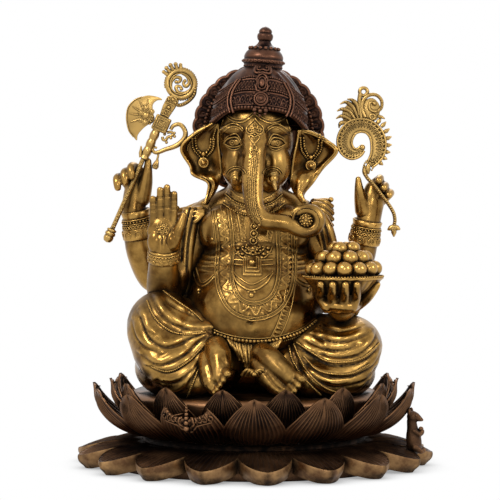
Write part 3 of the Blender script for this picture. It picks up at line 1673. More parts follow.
    def feet(self) -> None:
        """Builds both feet."""
        right_toes = [
            ((-29, -108, 27), (-26.6, -115, 27.6), (-25.4, -119.6, 25.4), 3.9),
            ((-32, -107, 23), (-30.2, -115, 22.4), (-29.4, -119.6, 19.4), 2.9),
            ((-34.4, -106, 18), (-33.0, -114, 17.6), (-32.2, -118.4, 14.8), 2.7),
            ((-36.8, -105, 14), (-35.6, -113, 13), (-35.0, -117, 10.6), 2.5),
            ((-39, -104, 11), (-38.4, -111, 9.6), (-38.0, -115, 7.4), 2.4),
        ]
        self.foot(
            "right_foot_cast", "right_foot",
            [(-37, -80, 47, 12.5), (-34, -92, 39, 12.5), (-32.5, -101, 29, 10.5), (-33.5, -107, 21, 8)],
            [(-44, -84, 36, 11), (-43, -94, 26, 10.5), (-41, -103, 15, 8), (-38.5, -107, 10, 5.5)],
            right_toes, [([(-31, 40), (-26, 32)], 0.6, 2.0), ([(-44, 30), (-38, 20), (-36, 12)], 0.5, 2.0)],
        )
        left_toes = [
            ((38, -108, 24), (42, -116, 23.4), (44.8, -120.4, 20.6), 4.1),
            ((35, -109, 19), (39, -117, 17.6), (41.6, -121.4, 14.4), 3.0),
            ((31.5, -109.6, 14.6), (35.4, -117, 12.8), (38.2, -121.8, 9.6), 2.8),
            ((28, -110, 11), (31.8, -116.6, 9), (34.6, -121.4, 6.2), 2.6),
            ((25, -110, 8), (28.4, -116, 5.8), (31, -120.6, 3.8), 2.4),
        ]
        self.foot(
            "left_foot_cast", "left_foot",
            [(8, -84, 41, 12.5), (16, -94, 36, 12.5), (26, -103, 28, 11), (34, -109, 21, 8.5)],
            [(6, -88, 30, 12), (13, -98, 22, 11), (21, -106, 13, 8.5), (27, -110, 8.6, 6)], left_toes,
            [([(10, 27), (18, 16), (27, 8)], 1.2, 2.0), ([(20, 38), (30, 28)], 0.5, 2.0)],
        )

    def build(self) -> None:
        """Builds both legs and feet."""
        self.right()
        self.left()
        self.feet()


# --- Head, crown and halo ---------------------------------------------------------------------------


@dataclass
class Head:
    """The elephant head with its ears, tusks and curled trunk.

    Attributes:
        curl: The middle of the trunk's curl, (x, rise).
        front: How far forward the trunk's curl lies.
        flutes: How many flutes the lip in the curl has.
    """

    curl: tuple[float, float] = (50.5, 170.3)
    front: float = -72.0
    flutes: int = 26

    def sculpt(self) -> bmesh.types.BMesh:
        """Presses the head and the trunk together."""
        clay = Clay()
        clay.ball((2, -8, DECK + 250), (37.5, 38, 38))
        clay.ball((2, -14, DECK + 266), (34, 33, 24))
        for side in (-1, 1):
            clay.ball((2 + side * 17, -22, DECK + 226), (17.5, 21, 25))
            clay.ball((1.5 + side * 14, -26, DECK + 208), (12, 15, 11))
            clay.chain([(1 + side * 15, -33, DECK + 217, 8), (0.5 + side * 17.5, -42, DECK + 211, 6.2)])
            clay.ball((2 + side * 20, -36, DECK + 260), (15, 9, 6))
        clay.ball((2, 4, DECK + 232), (32, 32, 34))
        clay.chain([(1.5, -38, DECK + 262, 13), (0.8, -45, DECK + 248, 12.5), (0, -52, DECK + 236, 12)], 3)
        clay.chain(
            [
                (0.4, -50, DECK + 240, 11.6), (-0.8, -58, DECK + 222, 11.2), (-1.4, -64, DECK + 205, 10.5),
                (-0.6, -68, DECK + 190, 9.6), (3.2, -71, DECK + 177, 9.4),
                (11, self.front, DECK + 170.5, 9.0), (21, self.front, DECK + 169.5, 8.6),
                (33, self.front, DECK + 167.6, 8.2), (43, self.front, DECK + 162, 7.2),
                (52, self.front, DECK + 159.6, 6.4), (60.5, self.front, DECK + 164, 6.2),
                (63.0, self.front, DECK + 172, 6.2), (58.5, self.front, DECK + 179.5, 6.0),
                (50.5, self.front, DECK + 181.6, 5.6), (42, self.front - 1, DECK + 179.2, 4.8),
            ],
            5,
        )
        skin = clay.skin(1.25, 5)
        strokes = [
            Stroke(traced([(x, 244.5), (x + 1.5, 250), (x + 9, 254.5), (x + 17, 252)]), ridge(0.9, 3.5), 9)
            for x in (-29, 12)
        ]
        strokes += [
            Stroke(traced([(-11.5, 238), (-15, 228), (-15, 218)]), ridge(-1.6, 3.2), 9),
            Stroke(traced([(13, 238), (15.5, 228), (15, 218)]), ridge(-1.6, 3.2), 9),
        ]
        carve(skin, strokes, front_view, seen_from_front)
        return skin

    def eyes(self, piece: Piece, skin: Skin) -> None:
        """Lays both almond eyes with their doubled lids and brows.

        Args:
            piece: What they are added to.
            skin: What they lie on.
        """
        for x, rise, side in ((-19.6, 247.0, -1), (21.2, 246.6, 1)):
            inner, outer = x - side * 8.4, x + side * 9.4

            def lid(bend: float, skew: float, lift: float, wide: float, spread: float = 1.0) -> None:
                """Lays one line of a lid.

                Args:
                    bend: How far it rises over the middle of the eye; a negative one hangs.
                    skew: How much further it rises on its inner side.
                    lift: How far off the skin it lies.
                    wide: The wire's radius.
                    spread: How far it runs out, where 1 is to the corners.
                """
                path = [
                    (x + (inner - x) * spread, rise - 2.6 * spread + 0.3),
                    (x - side * 3.6, rise + bend * 0.86 + skew), (x + side * 1.2, rise + bend),
                    (x + side * 6.2 * spread, rise + bend * 0.62), (x + (outer - x) * spread, rise - 0.4),
                ]
                piece.trace(skin, path, lift, wide, 6)

            place, normal = skin.front(x + side * 0.4, DECK + rise)
            turn = normal.to_track_quat("Z", "Y").to_matrix().to_4x4()
            bmesh.ops.create_uvsphere(
                piece.mesh, u_segments=28, v_segments=16, radius=1,
                matrix=Matrix.Translation(place - normal * 0.6) @ turn @ Matrix.Diagonal((7.6, 4.2, 3.0, 1)),
            )
            pupil = place + normal * 2.1
            piece.ring(pupil, 2.5, 0.55, normal)
            piece.bead(pupil + normal * 0.1, 1.2)
            lid(5.2, 0, 0.9, 1.0)
            lid(-4.6, 0, 0.8, 0.85)
            lid(8.4, 0.2, 0.3, 0.85, 1.12)
            lid(-7.4, 0, 0.3, 0.75, 1.0)
        for points in (
            [(-10, 256.5), (-14, 260.6), (-21.5, 262.4), (-31, 257)],
            [(-9.5, 258.6), (-14, 263), (-22, 265.3), (-32, 259.6)],
            [(11, 256.5), (15.5, 260.2), (22.5, 261.8), (35, 254.6)],
            [(10.5, 258.6), (15.5, 262.7), (23.5, 264.8), (36, 257.4)],
        ):
            piece.trace(skin, points, 0.25, 0.8)

    def forehead(self, piece: Piece, skin: Skin) -> None:
        """Lays the hanging double lines, the spade with its scrolls and the small heart.

        Args:
            piece: What they are added to.
            skin: What they lie on.
        """
        for points in (
            [(-28, 274), (-22, 268.6), (-14.5, 266.4), (-7.5, 268.2), (-1, 273.5)],
            [(2, 273.5), (8.5, 268), (16.5, 265.8), (24, 267.6), (32, 272.5)],
        ):
            for rise in (0, 2.9):
                piece.trace(skin, [(x, z + rise) for x, z in points], 0.25, 0.85)
        spade = [(0, 270.5), (3.4, 266), (7.6, 261.5), (7.4, 256.6), (3.6, 254.6), (0, 257)]
        drop = [(0, 266.5), (2.8, 262.6), (1.1, 260.2)]
        curl = [(0, 261.5), (2.6, 260), (5.4, 260.6), (5.4, 257.6), (3.2, 257.5), (3.6, 259)]
        heart = [(0, 245.4), (2.6, 248.2), (4.7, 251.2), (3.4, 253.4), (0, 251.4)]
        temple = [(31, 270), (33.5, 262), (35, 256)]
        lines = (
            (spade, 0.8, 0.3, 0.85), (drop, 0.8, 0.3, 0.65), (curl, 0.8, 0.3, 0.65), (heart, 0.3, 0.3, 0.8),
            (temple, 0.8, 0.2, 0.7),
        )
        for side in (-1, 1):
            for points, x, lift, wide in lines:
                piece.trace(skin, [(x + side * across, rise) for across, rise in points], lift, wide)
        for rise in (254.2, 264.2, 249.8):
            for place in skin.lay(risen([(0.6, rise)]), 0.3):
                piece.bead(place, 1.0)

    def trunk_lines(self, piece: Piece, skin: Skin) -> None:
        """Lays the ornamented strip that runs down the trunk.

        Args:
            piece: What it is added to.
            skin: What it lies on.
        """
        path = [(0.2, 234), (-1.4, 220), (-2.4, 205), (-2.0, 190), (-0.2, 179), (3.4, 170.5)]
        line = traced(path, 8)
        for shift in (-2.6, 2.6, -0.9, 0.9):
            piece.wire(skin.lay([(x + shift, z) for x, z in line], 0.12), 0.5)
        for x, z in line[2::2]:
            for shift in (-4.3, 4.3):
                for place in skin.lay([(x + shift, z)], 0.15):
                    piece.bead(place, 0.85)
        for rise, reach in ((236.5, 3.8), (240.5, 2.2)):
            for side in (-1, 1):
                piece.trace(
                    skin,
                    [(0.2, rise + 3), (0.2 + side * reach, rise + 1.4), (0.2 + side * reach * 0.6, rise - 2)],
                    0.25, 0.7, 5,
                )
        for place in skin.lay(risen([(0.2, 244.5), (5.2, 166.8)]), 0.3):
            piece.bead(place, 1.5)
        for side in (-1, 1):
            leaf = [(5, 164.6), (3.4 + side * 3, 168), (1.6 + side * 2.4, 172.5), (0.6, 175)]
            piece.trace(skin, leaf, 0.25, 0.6, 5)

    def curled_tip(self, piece: Piece) -> None:
        """Fills the trunk's curl with its fluted lip, its ball and its nostril.

        Args:
            piece: What they are added to.
        """
        centre = Vector((self.curl[0], self.front, DECK + self.curl[1]))

        def lip(across: float, along: float) -> Vector:
            """Finds a place on the lip.

            Args:
                across: The share of the way round.
                along: The share of the way from its hollow outwards.

            Returns:
                The place.
            """
            turn = 2 * pi * across
            radius = blend(5.8, 14.0, along)
            tooth = 0.5 + 0.5 * cos(self.flutes * turn)
            cup = 1.6 - 6.6 * cos(0.5 * pi * smoothstep(0.0, 0.9, along)) + 1.2 * sin(pi * along)
            groove = (
                -1.7 * (1 - tooth**0.6) * smoothstep(0.3, 0.5, along) * (1 - smoothstep(0.72, 0.8, along))
            )
            return centre + Vector((radius * cos(turn), -4.2 - cup - groove, radius * sin(turn)))

        piece.patch(8 * self.flutes + 1, 18, lip)
        ball = centre + Vector((-0.5, -2.6, 0.6))
        piece.bead(ball, 5.8)
        for ring, count in ((0.25, 1), (0.62, 7), (1.05, 11), (1.42, 12)):
            for i in range(count):
                turn = 2 * pi * i / count + ring
                lean = ring if count > 1 else 0
                out = Vector((sin(lean) * cos(turn), -cos(lean), sin(lean) * sin(turn)))
                piece.bead(ball + out * 5.7, 1.35)
        tip = Vector((37.5, self.front - 3, DECK + 177.5))
        piece.ring(tip, 2.6, 1.2, (-0.75, -0.65, 0.1))
        piece.wire(
            [tip + Vector((0, 2, 1)), tip + Vector((5, 0, 4)), tip + Vector((10, 1, 4))], [3.2, 3.6, 3.4]
        )

    def tusks(self, skin: Skin) -> None:
        """Builds the tusk, the stub and the rings round their sockets.

        Args:
            skin: The head's surface.
        """
        for name, x, length, tip, node in (
            ("tusk", 18.0, 14.0, (21.5, -51.5, 200), "left_tusk"),
            ("tusk_stub", -17.6, 4.0, (-19, -48, 208), "right_tusk"),
        ):
            piece = Piece(name)
            root = Vector((x, -40, DECK + 213.5))
            end = Vector((tip[0], tip[1], DECK + tip[2]))
            path = curve_through([root, root.lerp(end, 0.5) + Vector((0, -1.2, -0.6)), end], 5)
            widths = [
                blend(3.6, 0.9 if length > 5 else 2.9, (i / (len(path) - 1)) ** 1.4) for i in range(len(path))
            ]
            piece.wire(path, widths)
            along = (end - root).normalized()
            for share, size in ((0.0, 5.0), (0.12, 4.7), (0.24, 4.3)):
                piece.ring(root + along * 14 * share, size, 1.15, along)
            done(piece, Metal.PALE if length > 5 else Metal.BODY, [node])
            piece = Piece(f"{name}_socket")
            for size in (8.2, 10.4):
                arc = [
                    (x + size * cos(a), DECK + 214 + 0.9 * size * sin(a))
                    for a in np.linspace(radians(15), radians(165), 14)
                ]
                piece.wire(skin.lay(arc, 0.3), 0.7)
            done(piece, Metal.BODY)

    def ear(self, name: str, side: int, inner: Sequence[Point], outer: Sequence[Point], node: str) -> None:
        """Builds one ear and its pendant.

        Args:
            name: The finished ear's name.
            side: -1 for the figure's right ear and 1 for its left one.
            inner: The (x, y, rise) points of the edge beside the head.
            outer: The (x, y, rise) points of the edge away from it.
            node: The construction node that it stands for.
        """
        near = curve_through([(x, y, DECK + z) for x, y, z in inner], 12)
        far = curve_through([(x, y, DECK + z) for x, y, z in outer], 12)

        def along_line(line: Sequence[Vector], share: float) -> Vector:
            """Finds a place on a line.

            Args:
                line: The line.
                share: The share of the way along it.

            Returns:
                The place.
            """
            at = share * (len(line) - 1)
            i = min(int(at), len(line) - 2)
            return line[i].lerp(line[i + 1], at - i)

        def shape(across: float, along: float) -> Vector:
            """Finds a place on the ear.

            Args:
                across: The share of the way from its inner edge out.
                along: The share of the way down.

            Returns:
                The place.
            """
            start, end = along_line(near, along), along_line(far, along)
            width = (end - start).length
            place = start.lerp(end, across)
            dish = (
                0.27 * width * sin(pi * across**0.85) * (1 - smoothstep(0.5, 0.62, along))
                * smoothstep(0.0, 0.12, along)
            )
            flare = (
                -4.5 * sin(pi * min(1, across * 1.15)) * smoothstep(0.52, 0.7, along)
                * (1 - smoothstep(0.86, 1.0, along))
            )
            roll = -3.4 * smoothstep(0.82, 1.0, across) * (1 - smoothstep(0.55, 0.65, along))
            vein = 0.35 * sin(across * 21 + along * 5) * sin(pi * across)
            return place + Vector((0, dish + flare + roll + vein, 0))

        piece = Piece(name)
        piece.patch(44, 70, shape, 2.4)
        rim = [shape(1.0, t) for t in np.linspace(0, 1, 60)]
        piece.wire(rim, [1.5 if 0.06 < i / 60 < 0.97 else 0.9 for i in range(60)])
        skin = Skin(piece.mesh)
        for share in (0.16, 0.84):
            hang = [shape(share, t) + Vector((0, -1.5, 0)) for t in np.linspace(0.08, 0.3, 8)]
            piece.beads(hang, 0.9, 2.0)
        done(piece, Metal.BODY, [node])

        chain = Piece(f"{name}_pendant")
        x = -50.4 if side < 0 else 56.7
        top = 250.5 if side < 0 else 252
        spread = 8.6 if side < 0 else 8.4
        low = 236 if side < 0 else 233
        for reach, drop, size in ((spread, low, 1.35), (spread + 3.4, low - 4, 1.1)):
            for way in (-1, 1):
                path = [
                    (x + way * reach, top + (2 if way * side > 0 else 0)),
                    (x + way * reach * 0.85, blend(top, drop, 0.55)), (x + way * 1.2, drop),
                ]
                laid = skin.lay(traced(path, 8), 1.4)
                chain.beads(laid, size, 2.1 * size)
        hub = skin.front(x, DECK + low)
        hub_at = hub[0] + Vector((0, -2.4, 0)) if hub else Vector((x, 0, DECK + low))
        for dx, dz, size in ((0, 0, 2.6), (-3, 1.5, 1.5), (3, 1.5, 1.5), (0, -3.4, 1.4)):
            chain.bead(hub_at + Vector((dx, -0.6, dz)), size)
        disc = hub_at + Vector((0, -1.6, -8.6))
        chain.ring(disc, 4.4, 1.25)
        chain.bead(disc, 4.4, 0.4, Vector((0, 1, 0)))
        chain.bead(disc + Vector((0, -1.6, 0)), 2.5)
        done(chain, Metal.WRAP, ["ear_pendants"] if side < 0 else [])

    def ears(self) -> None:
        """Builds both ears."""
        self.ear(
            "right_ear_cast", -1,
            [
                (-35, -14, 266), (-36, -16, 250), (-34, -16, 230), (-33, -14, 213), (-38, -14, 198),
                (-46.5, -18, 187),
            ],
            [
                (-41, -12, 266.5), (-60, -10, 255.5), (-72.5, -9, 241.5), (-63.5, -6, 224),
                (-60.5, -12, 215.5), (-46, -14, 208), (-46, -15, 197), (-49, -19, 186),
            ],
            "right_ear",
        )
        self.ear(
            "left_ear_cast", 1,
            [(43, -14, 260), (41, -16, 247), (37, -16, 229), (36, -14, 212), (40, -14, 200), (49, -18, 188)],
            [
                (48, -12, 260), (60, -10, 256.5), (73, -9, 249), (82.5, -10, 238.5), (68, -6, 221.5),
                (58.5, -12, 208), (49, -14, 196), (50.5, -19, 187),
            ],
            "left_ear",
        )

    def build(self) -> None:
        """Builds and dresses the head's pieces."""
        form = self.sculpt()
        skin = Skin(form)
        head = Piece("head_casting")
        head.take(form)
        self.trunk_lines(head, skin)
        self.curled_tip(head)
        done(head, Metal.BODY, ["head", "trunk_sweet"])
        face = Piece("face_lines")
        self.eyes(face, skin)
        self.forehead(face, skin)
        done(face, Metal.BODY)
        self.tusks(skin)
        self.ears()


@dataclass
class Crown:
    """The tiered headdress, its finial and the scalloped halo behind it.

    Attributes:
        tilt: How far the head leans to its left, in degrees.
        base: The height of the headdress's rim up the leaning axis.
        height: The dome's height.
        arch: How far the rim rises over the brow.
        girth: The radius that millimetres round the front are measured at.
        lobes: How many scallops the halo has.
        neck: The height of the leaning axis's foot.
    """

    tilt: float = 4.0
    base: float = 72.0
    height: float = 58.0
    arch: float = 13.0
    girth: float = 44.0
    lobes: int = 30
    neck: float = field(default_factory=lambda: corners("torso")[1].z)

    @property
    def frame(self) -> Matrix:
        """The leaning frame that the headdress is built in."""
        return Matrix.Translation((0, 0, self.neck)) @ Matrix.Rotation(radians(self.tilt), 4, "Y")

    def rim(self, turn: float) -> float:
        """The height of the rim at an angle, 0 at the figure's left and pi/2 at its back."""
        facing = max(0.0, -sin(turn))
        return self.base + self.arch * smoothstep(0.25, 1.0, facing) - 3 * (1 - facing)

    def wall(self, turn: float, height: float, lift: float = 0.0) -> Vector:
        """Finds a place on the dome.

        Args:
            turn: Its angle round the axis.
            height: Its height up the axis.
            lift: How far off the dome it lies.

        Returns:
            The place.
        """
        share = min(1.0, max(0.0, (height - self.base) / self.height))
        swell = sqrt(max(0.0, 1 - share**2.4)) * 0.8 + 0.2 * (1 - share**1.2)
        half = blend(9, 47, swell) + 1.2 * sin(pi * min(1, share * 1.6))
        deep = blend(8, 46, swell)
        normal = Vector((cos(turn) * deep, sin(turn) * half, 26 * share + 4)).normalized()
        place = Vector((half * cos(turn), -4 + deep * sin(turn), height)) + normal * lift
        return self.frame @ place

    def bands(self, turn: float, above: float) -> float:
        """Gives the dome's relief.

        Args:
            turn: The angle round the axis, from the front.
            above: The height above the rim.

        Returns:
            How far the dome stands out there.
        """
        run = turn * self.girth
        lift = 0.0
        lift += 1.0 * smoothstep(3.6, 4.2, above) * (1 - smoothstep(5.2, 5.8, above))
        if 6 < above < 15.5:
            u, v = (run / 5.2) % 1 - 0.5, (above - 10.7) / 4.6
            arch = abs(sqrt((u / 0.42) ** 2 + ((v + 0.25) / 0.85) ** 2) - 1)
            lift += (
                1.5 * exp(-((arch / 0.2) ** 2)) + 1.4 * exp(-((u / 0.12) ** 2) - (((v + 0.25) / 0.3) ** 2))
            )
        lift += 1.3 * smoothstep(15.8, 16.4, above) * (1 - smoothstep(17.4, 18.0, above))
        if 20.5 < above < 29:
            u, v = (run / 4.0) % 1 - 0.5, (above - 24.8) / 4.2
            oval = abs(sqrt((u / 0.34) ** 2 + (v / 0.75) ** 2) - 1)
            lift += 1.3 * exp(-((oval / 0.28) ** 2))
        lift += 1.2 * smoothstep(29.2, 29.8, above) * (1 - smoothstep(30.8, 31.4, above))
        if above > 33.5:
            lift += 0.5 * sin(run / 3.1 + 0.3 * above) * (1 - smoothstep(34, 60, above))
        return lift

    def build(self) -> None:
        """Builds and dresses the headdress and the halo."""
        dome = Piece("headdress")
        top = self.base + self.height

        def shell(across: float, along: float) -> Vector:
            """Finds a place on the dome.

            Args:
                across: The share of the way round.
                along: The share of the way up from the rim.

            Returns:
                The place.
            """
            turn = 2 * pi * across + pi / 2
            low = self.rim(turn)
            height = blend(low, top, along**0.9)
            above = height - low
            lift = self.bands(turn - 1.5 * pi, above) if along > 0 else -2.0
            return self.wall(turn, height, lift)

        dome.patch(560, 84, shell)
        for above, size, pitch in ((1.7, 1.75, 3.4), (19.3, 1.05, 2.3), (32.4, 1.05, 2.3)):
            path = [self.wall(a, self.rim(a) + above, 0.9) for a in np.linspace(-pi, pi, 300)]
            dome.beads(path, size, pitch)
        for a, side in ((radians(-58), 1), (radians(-122), -1)):
            for shift in (0, 0.09):
                edge = [
                    self.wall(
                        a + side * shift + 0.15 * sin(2.6 * t) * side, blend(self.rim(a) - 3, top - 17, t),
                        2.0,
                    )
                    for t in np.linspace(0, 1, 20)
                ]
                dome.wire(edge, 1.1)
        self.front_jewels(dome)
        done(dome, Metal.CROWN, ["crown", "crown_bands", "crown_crest"])
        self.finial()
        self.halo()

    def front_jewels(self, piece: Piece) -> None:
        """Lays the rosette, the long plaque and the leaf crest up the front.

        Args:
            piece: The headdress.
        """
        front = -pi / 2

        def at(x: float, above: float, lift: float) -> Vector:
            """A place x millimetres round from the middle of the front."""
            return self.wall(front + x / self.girth, self.rim(front) + above, lift)

        def facing(above: float) -> Vector:
            """The way the front's middle line faces, at a height above the rim."""
            a, b, c = at(-2, above, 0), at(2, above, 0), at(0, above + 2, 0)
            return (b - a).cross(c - a).normalized()

        for size, lift, wire in ((6.4, 2.2, 1.1), (4.2, 2.9, 0.8)):
            piece.ring(at(0, 10, lift), size, wire, facing(10))
        piece.bead(at(0, 10, 1.4), 6.2, 0.35, facing(10))
        piece.bead(at(0, 10, 3.4), 2.2)
        for i in range(10):
            a = 2 * pi * i / 10
            piece.bead(at(8.9 * cos(a), 10 + 8.7 * sin(a), 1.4), 1.25)
        for dx in (-5, 0, 5):
            piece.bead(at(dx, -0.6 if dx else -1.6, 1.6), 2.3)
            piece.bead(at(dx * 0.9, -4.2 if dx else -6.0, 1.8), 1.5)
        for scale, wire, lift in ((1.0, 1.1, 2.0), (0.66, 0.75, 2.4)):
            outline = [(0, 9), (4.8, 7.4), (6.6, 3.6), (5.2, 0), (6.6, -3.6), (4.8, -7.4), (0, -9)]
            path = [
                at(scale * x, 25.5 + scale * y, lift)
                for x, y in outline + [(-x, y) for x, y in outline[-2:0:-1]]
            ]
            piece.wire(path, wire, closed=True)
        piece.bead(at(0, 25.5, 1.8), 3.0, 1.7, at(0, 28, 2) - at(0, 25, 2))
        leaf = [
            (0, 36), (5.5, 35.2), (11.5, 36), (14.2, 40.6), (11.6, 45), (7.0, 45.5), (3.4, 50), (1.4, 52.6),
            (0, 57),
        ]
        inner = [(0, 39), (5, 38), (9.4, 38.6), (10.6, 41.6), (7.6, 43), (6.2, 41), (7.8, 40.2)]
        vein = [(0, 44), (2.6, 45.6), (1.8, 49)]
        for side in (-1, 1):
            for x, y in ((4.0, 25.5), (7.8, 23), (7.8, 28.4)):
                piece.bead(at(side * x, y, 1.9), 1.0)
            for path, lift, wide, steps in ((leaf, 2.0, 1.3, 5), (inner, 2.2, 0.95, 5), (vein, 2.4, 0.8, 4)):
                piece.wire([at(side * p.x, p.y, lift) for p in curve_through(path, steps)], wide)
            piece.bead(at(side * 5.4, 35.5, 2.3), 1.4)

        def field_shape(across: float, along: float) -> Vector:
            """Finds a place on the swelling ground inside the leaf crest.

            Args:
                across: The share of the way from side to side.
                along: The share of the way up.

            Returns:
                The place.
            """
            y = blend(36, 55, along)
            half = (
                13.2 * sin(pi * min(0.98, 0.16 + along * 0.86)) ** 0.8
                * (1 - 0.6 * smoothstep(0.45, 1, along))
            )
            x = (2 * across - 1) * half
            return at(x, y, 1.1 + 0.5 * sin(pi * across))

        piece.patch(22, 16, field_shape)
        piece.bead(at(0, 58.5, 2.2), 1.7)

    def finial(self) -> None:
        """Turns the finial and strings its beads."""
        piece = Piece("finial")
        seat = self.base + self.height - 3
        place = self.frame @ Matrix.Translation((0, -1, seat))
        profile = [
            (0, -2), (17, -2), (19, 1.5), (19.4, 5), (20.6, 6), (20.8, 8.6), (19.4, 9.8), (19.6, 12.5),
            (17.8, 16.5), (14.6, 19.8), (11.0, 22.2), (8.0, 24.4), (6.4, 26.8), (6.0, 28.2), (7.2, 29.4),
            (7.9, 31.6), (7.9, 34), (7.0, 35.6), (6.2, 36.3), (6.6, 37.2), (6.0, 39.4), (3.6, 41.6), (0, 43),
        ]
        smooth = [p[:2] for p in curve_through(profile, 3)]
        piece.turned([(max(0.0, r), h) for r, h in smooth], place, 64)
        for count, radius, height, size in (
            (17, 14.4, 20.6, 2.0), (30, 20.6, 7.4, 1.3), (44, 18.6, 2.4, 1.15)
        ):
            for i in range(count):
                a = 2 * pi * i / count
                piece.bead(place @ Vector((radius * cos(a), radius * sin(a), height)), size)
        done(piece, Metal.CROWN, ["crown_finial"])

    def halo(self) -> None:
        """Builds the halo with its scallops, its rays and its beaded inner ring."""
        low, high = corners("halo")
        middle_x, middle_z = (low.x + high.x) / 2, (low.z + high.z) / 2
        reach = (high.x - low.x) / 2
        front, back = low.y, high.y
        lobes = self.lobes
        piece = Piece("halo_disc")

        def relief(turn: float, share: float) -> float:
            """Gives the relief of the halo's front.

            Args:
                turn: The angle round its middle.
                share: The share of the way out to its edge.

            Returns:
                How far it stands out.
            """
            r = share * reach
            swing = (turn * lobes / (2 * pi)) % 1 - 0.5
            lift = 0.0
            if r > reach - 15:
                u, v = swing / 0.44, (r - (reach - 7)) / 7
                far = sqrt(u * u + v * v)
                lift += (
                    2.4 * (1 - smoothstep(0.75, 1.0, far))
                    - 1.5 * (1 - smoothstep(0.25, 0.5, sqrt(u * u + (v + 0.1) ** 2)))
                )
                lift += 1.4 * exp(-((sqrt(u * u + (v + 0.1) ** 2) / 0.22) ** 2))
            elif r > reach - 24:
                lift += 1.0 * abs(sin(turn * lobes)) + 0.7
            elif r > reach - 27:
                lift += 1.8
            else:
                lift += 0.4 * sin(r * 1.3)
            return lift

        def brink(across: float) -> float:
            """How far the scalloped edge falls back, 0 at the top of a lobe."""
            return 1.8 * (abs(((across * lobes) % 1) - 0.5) * 2) ** 2.2

        def face(across: float, along: float) -> Vector:
            """Finds a place on the front.

            Args:
                across: The share of the way round.
                along: The share of the way out.

            Returns:
                The place.
            """
            turn = 2 * pi * across
            edge = reach - 1.2 - brink(across)
            share = 0.25 + 0.75 * along
            r = edge * share
            out = relief(turn, r / reach) if along < 1 else 0.0
            return Vector((middle_x + r * cos(turn), front - out * 0.9 + 0.8, middle_z + r * sin(turn)))

        piece.patch(lobes * 18 + 1, 46, face)

        def rear(across: float, along: float) -> Vector:
            """Finds a place on the rayed back.

            Args:
                across: The share of the way round.
                along: The share of the way out.

            Returns:
                The place.
            """
            turn = -2 * pi * across
            edge = reach - 1.2 - brink(across)
            share = 0.05 + 0.95 * along
            ray = 0.5 * (0.5 + 0.5 * cos(turn * lobes)) * sin(pi * along)
            return Vector(
                (
                    middle_x + edge * share * cos(turn), back + ray - 0.6 * along**6,
                    middle_z + edge * share * sin(turn),
                )
            )

        piece.patch(lobes * 10 + 1, 26, rear)
        brim = []
        for i in range(lobes * 12):
            across = i / (lobes * 12)
            edge = reach - 1.4 - brink(across)
            brim.append(
                (
                    middle_x + edge * cos(2 * pi * across), (front + back) / 2,
                    middle_z + edge * sin(2 * pi * across),
                )
            )
        piece.wire(brim, (back - front) / 2, closed=True)
        ring = [
            Vector((middle_x + 55 * cos(a), front - 2.5, middle_z + 55 * sin(a)))
            for a in np.linspace(radians(-30), radians(210), 200)
        ]
        piece.beads(ring, 1.9, 4.0)
        arc = [
            Vector((middle_x + 1 + 36 * cos(a), front - 12, middle_z + 24 + 37 * sin(a)))
            for a in np.linspace(radians(20), radians(160), 80)
        ]
        piece.beads(arc, 1.9, 3.9)
        piece.wire([p + Vector((0, 2.2, -2.4)) for p in arc], 1.9)
        done(piece, Metal.CROWN, ["halo"])


# --- Arms and hands ----------------------------------------------------------------------------------


@dataclass
class Cuff:
    """A wide bracelet round a forearm: a flared edge, beads, scrollwork and a row of medallions.

    Attributes:
        node: The construction node that it stands for.
        low: The middle of its lower edge, as (x, y, rise).
        high: The middle of its upper edge.
        radii: The arm's radius at the two edges.
        flare: How far its upper edge stands out.
        medallions: How many medallions it has.
    """

    node: str
    low: Point
    high: Point
    radii: tuple[float, float]
    flare: float = 3.2
    medallions: int = 9

    def build(self) -> None:
        """Builds the bracelet."""
        low, high = (Vector(p[:3]) for p in raised([self.low, self.high]))
        axis = high - low
        length = axis.length
        place = Matrix.Translation(low) @ axis.to_track_quat("Z", "Y").to_matrix().to_4x4()
        first, last = self.radii
        piece = Piece(f"{self.node}_cuff")
        outline = [
            (first - 2, 0.6), (first + 1.2, 0), (first + 2.2, 1.2), (first + 1.6, 0.3 * length),
            (last + 1.6, 0.7 * length), (last + 2.4, 0.76 * length), (last + self.flare, length - 0.8),
            (last + self.flare - 1.2, length), (last - 2, length - 1.6),
        ]
        piece.turned([*outline, outline[0]], place, 64)

        def spot(turn: float, share: float, lift: float = 0.0) -> Vector:
            """A place on the band, share of the way up it."""
            radius = blend(first, last, share) + 2.0 + lift
            return place @ Vector((radius * cos(turn), radius * sin(turn), share * length))

        turns = np.linspace(0, 2 * pi, 97)[:-1]
        for share, width in ((0.71, 0.8), (0.57, 0.55), (0.36, 0.55)):
            piece.wire([spot(t, share) for t in turns], width, closed=True)
        for t in np.linspace(0, 2 * pi, int(2 * pi * last / 2.4)):
            piece.bead(spot(t, 0.64, 0.2), 1.05)
        piece.wire([spot(t, 0.465 + 0.055 * sin(15 * t), 0.1) for t in turns], 0.6, closed=True)
        piece.wire([spot(t, 0.465 - 0.055 * sin(15 * t), 0.1) for t in turns], 0.6, closed=True)
        for t in np.linspace(0, 2 * pi, self.medallions + 1)[:-1]:
            centre = spot(t, 0.2, 0.2)
            out = (centre - (place @ Vector((0, 0, 0.2 * length)))).normalized()
            piece.ring(centre, 0.13 * length, 0.6, out)
            piece.ring(centre, 0.075 * length, 0.5, out)
            piece.bead(centre, 0.9)
        done(piece, Metal.BODY, [self.node])


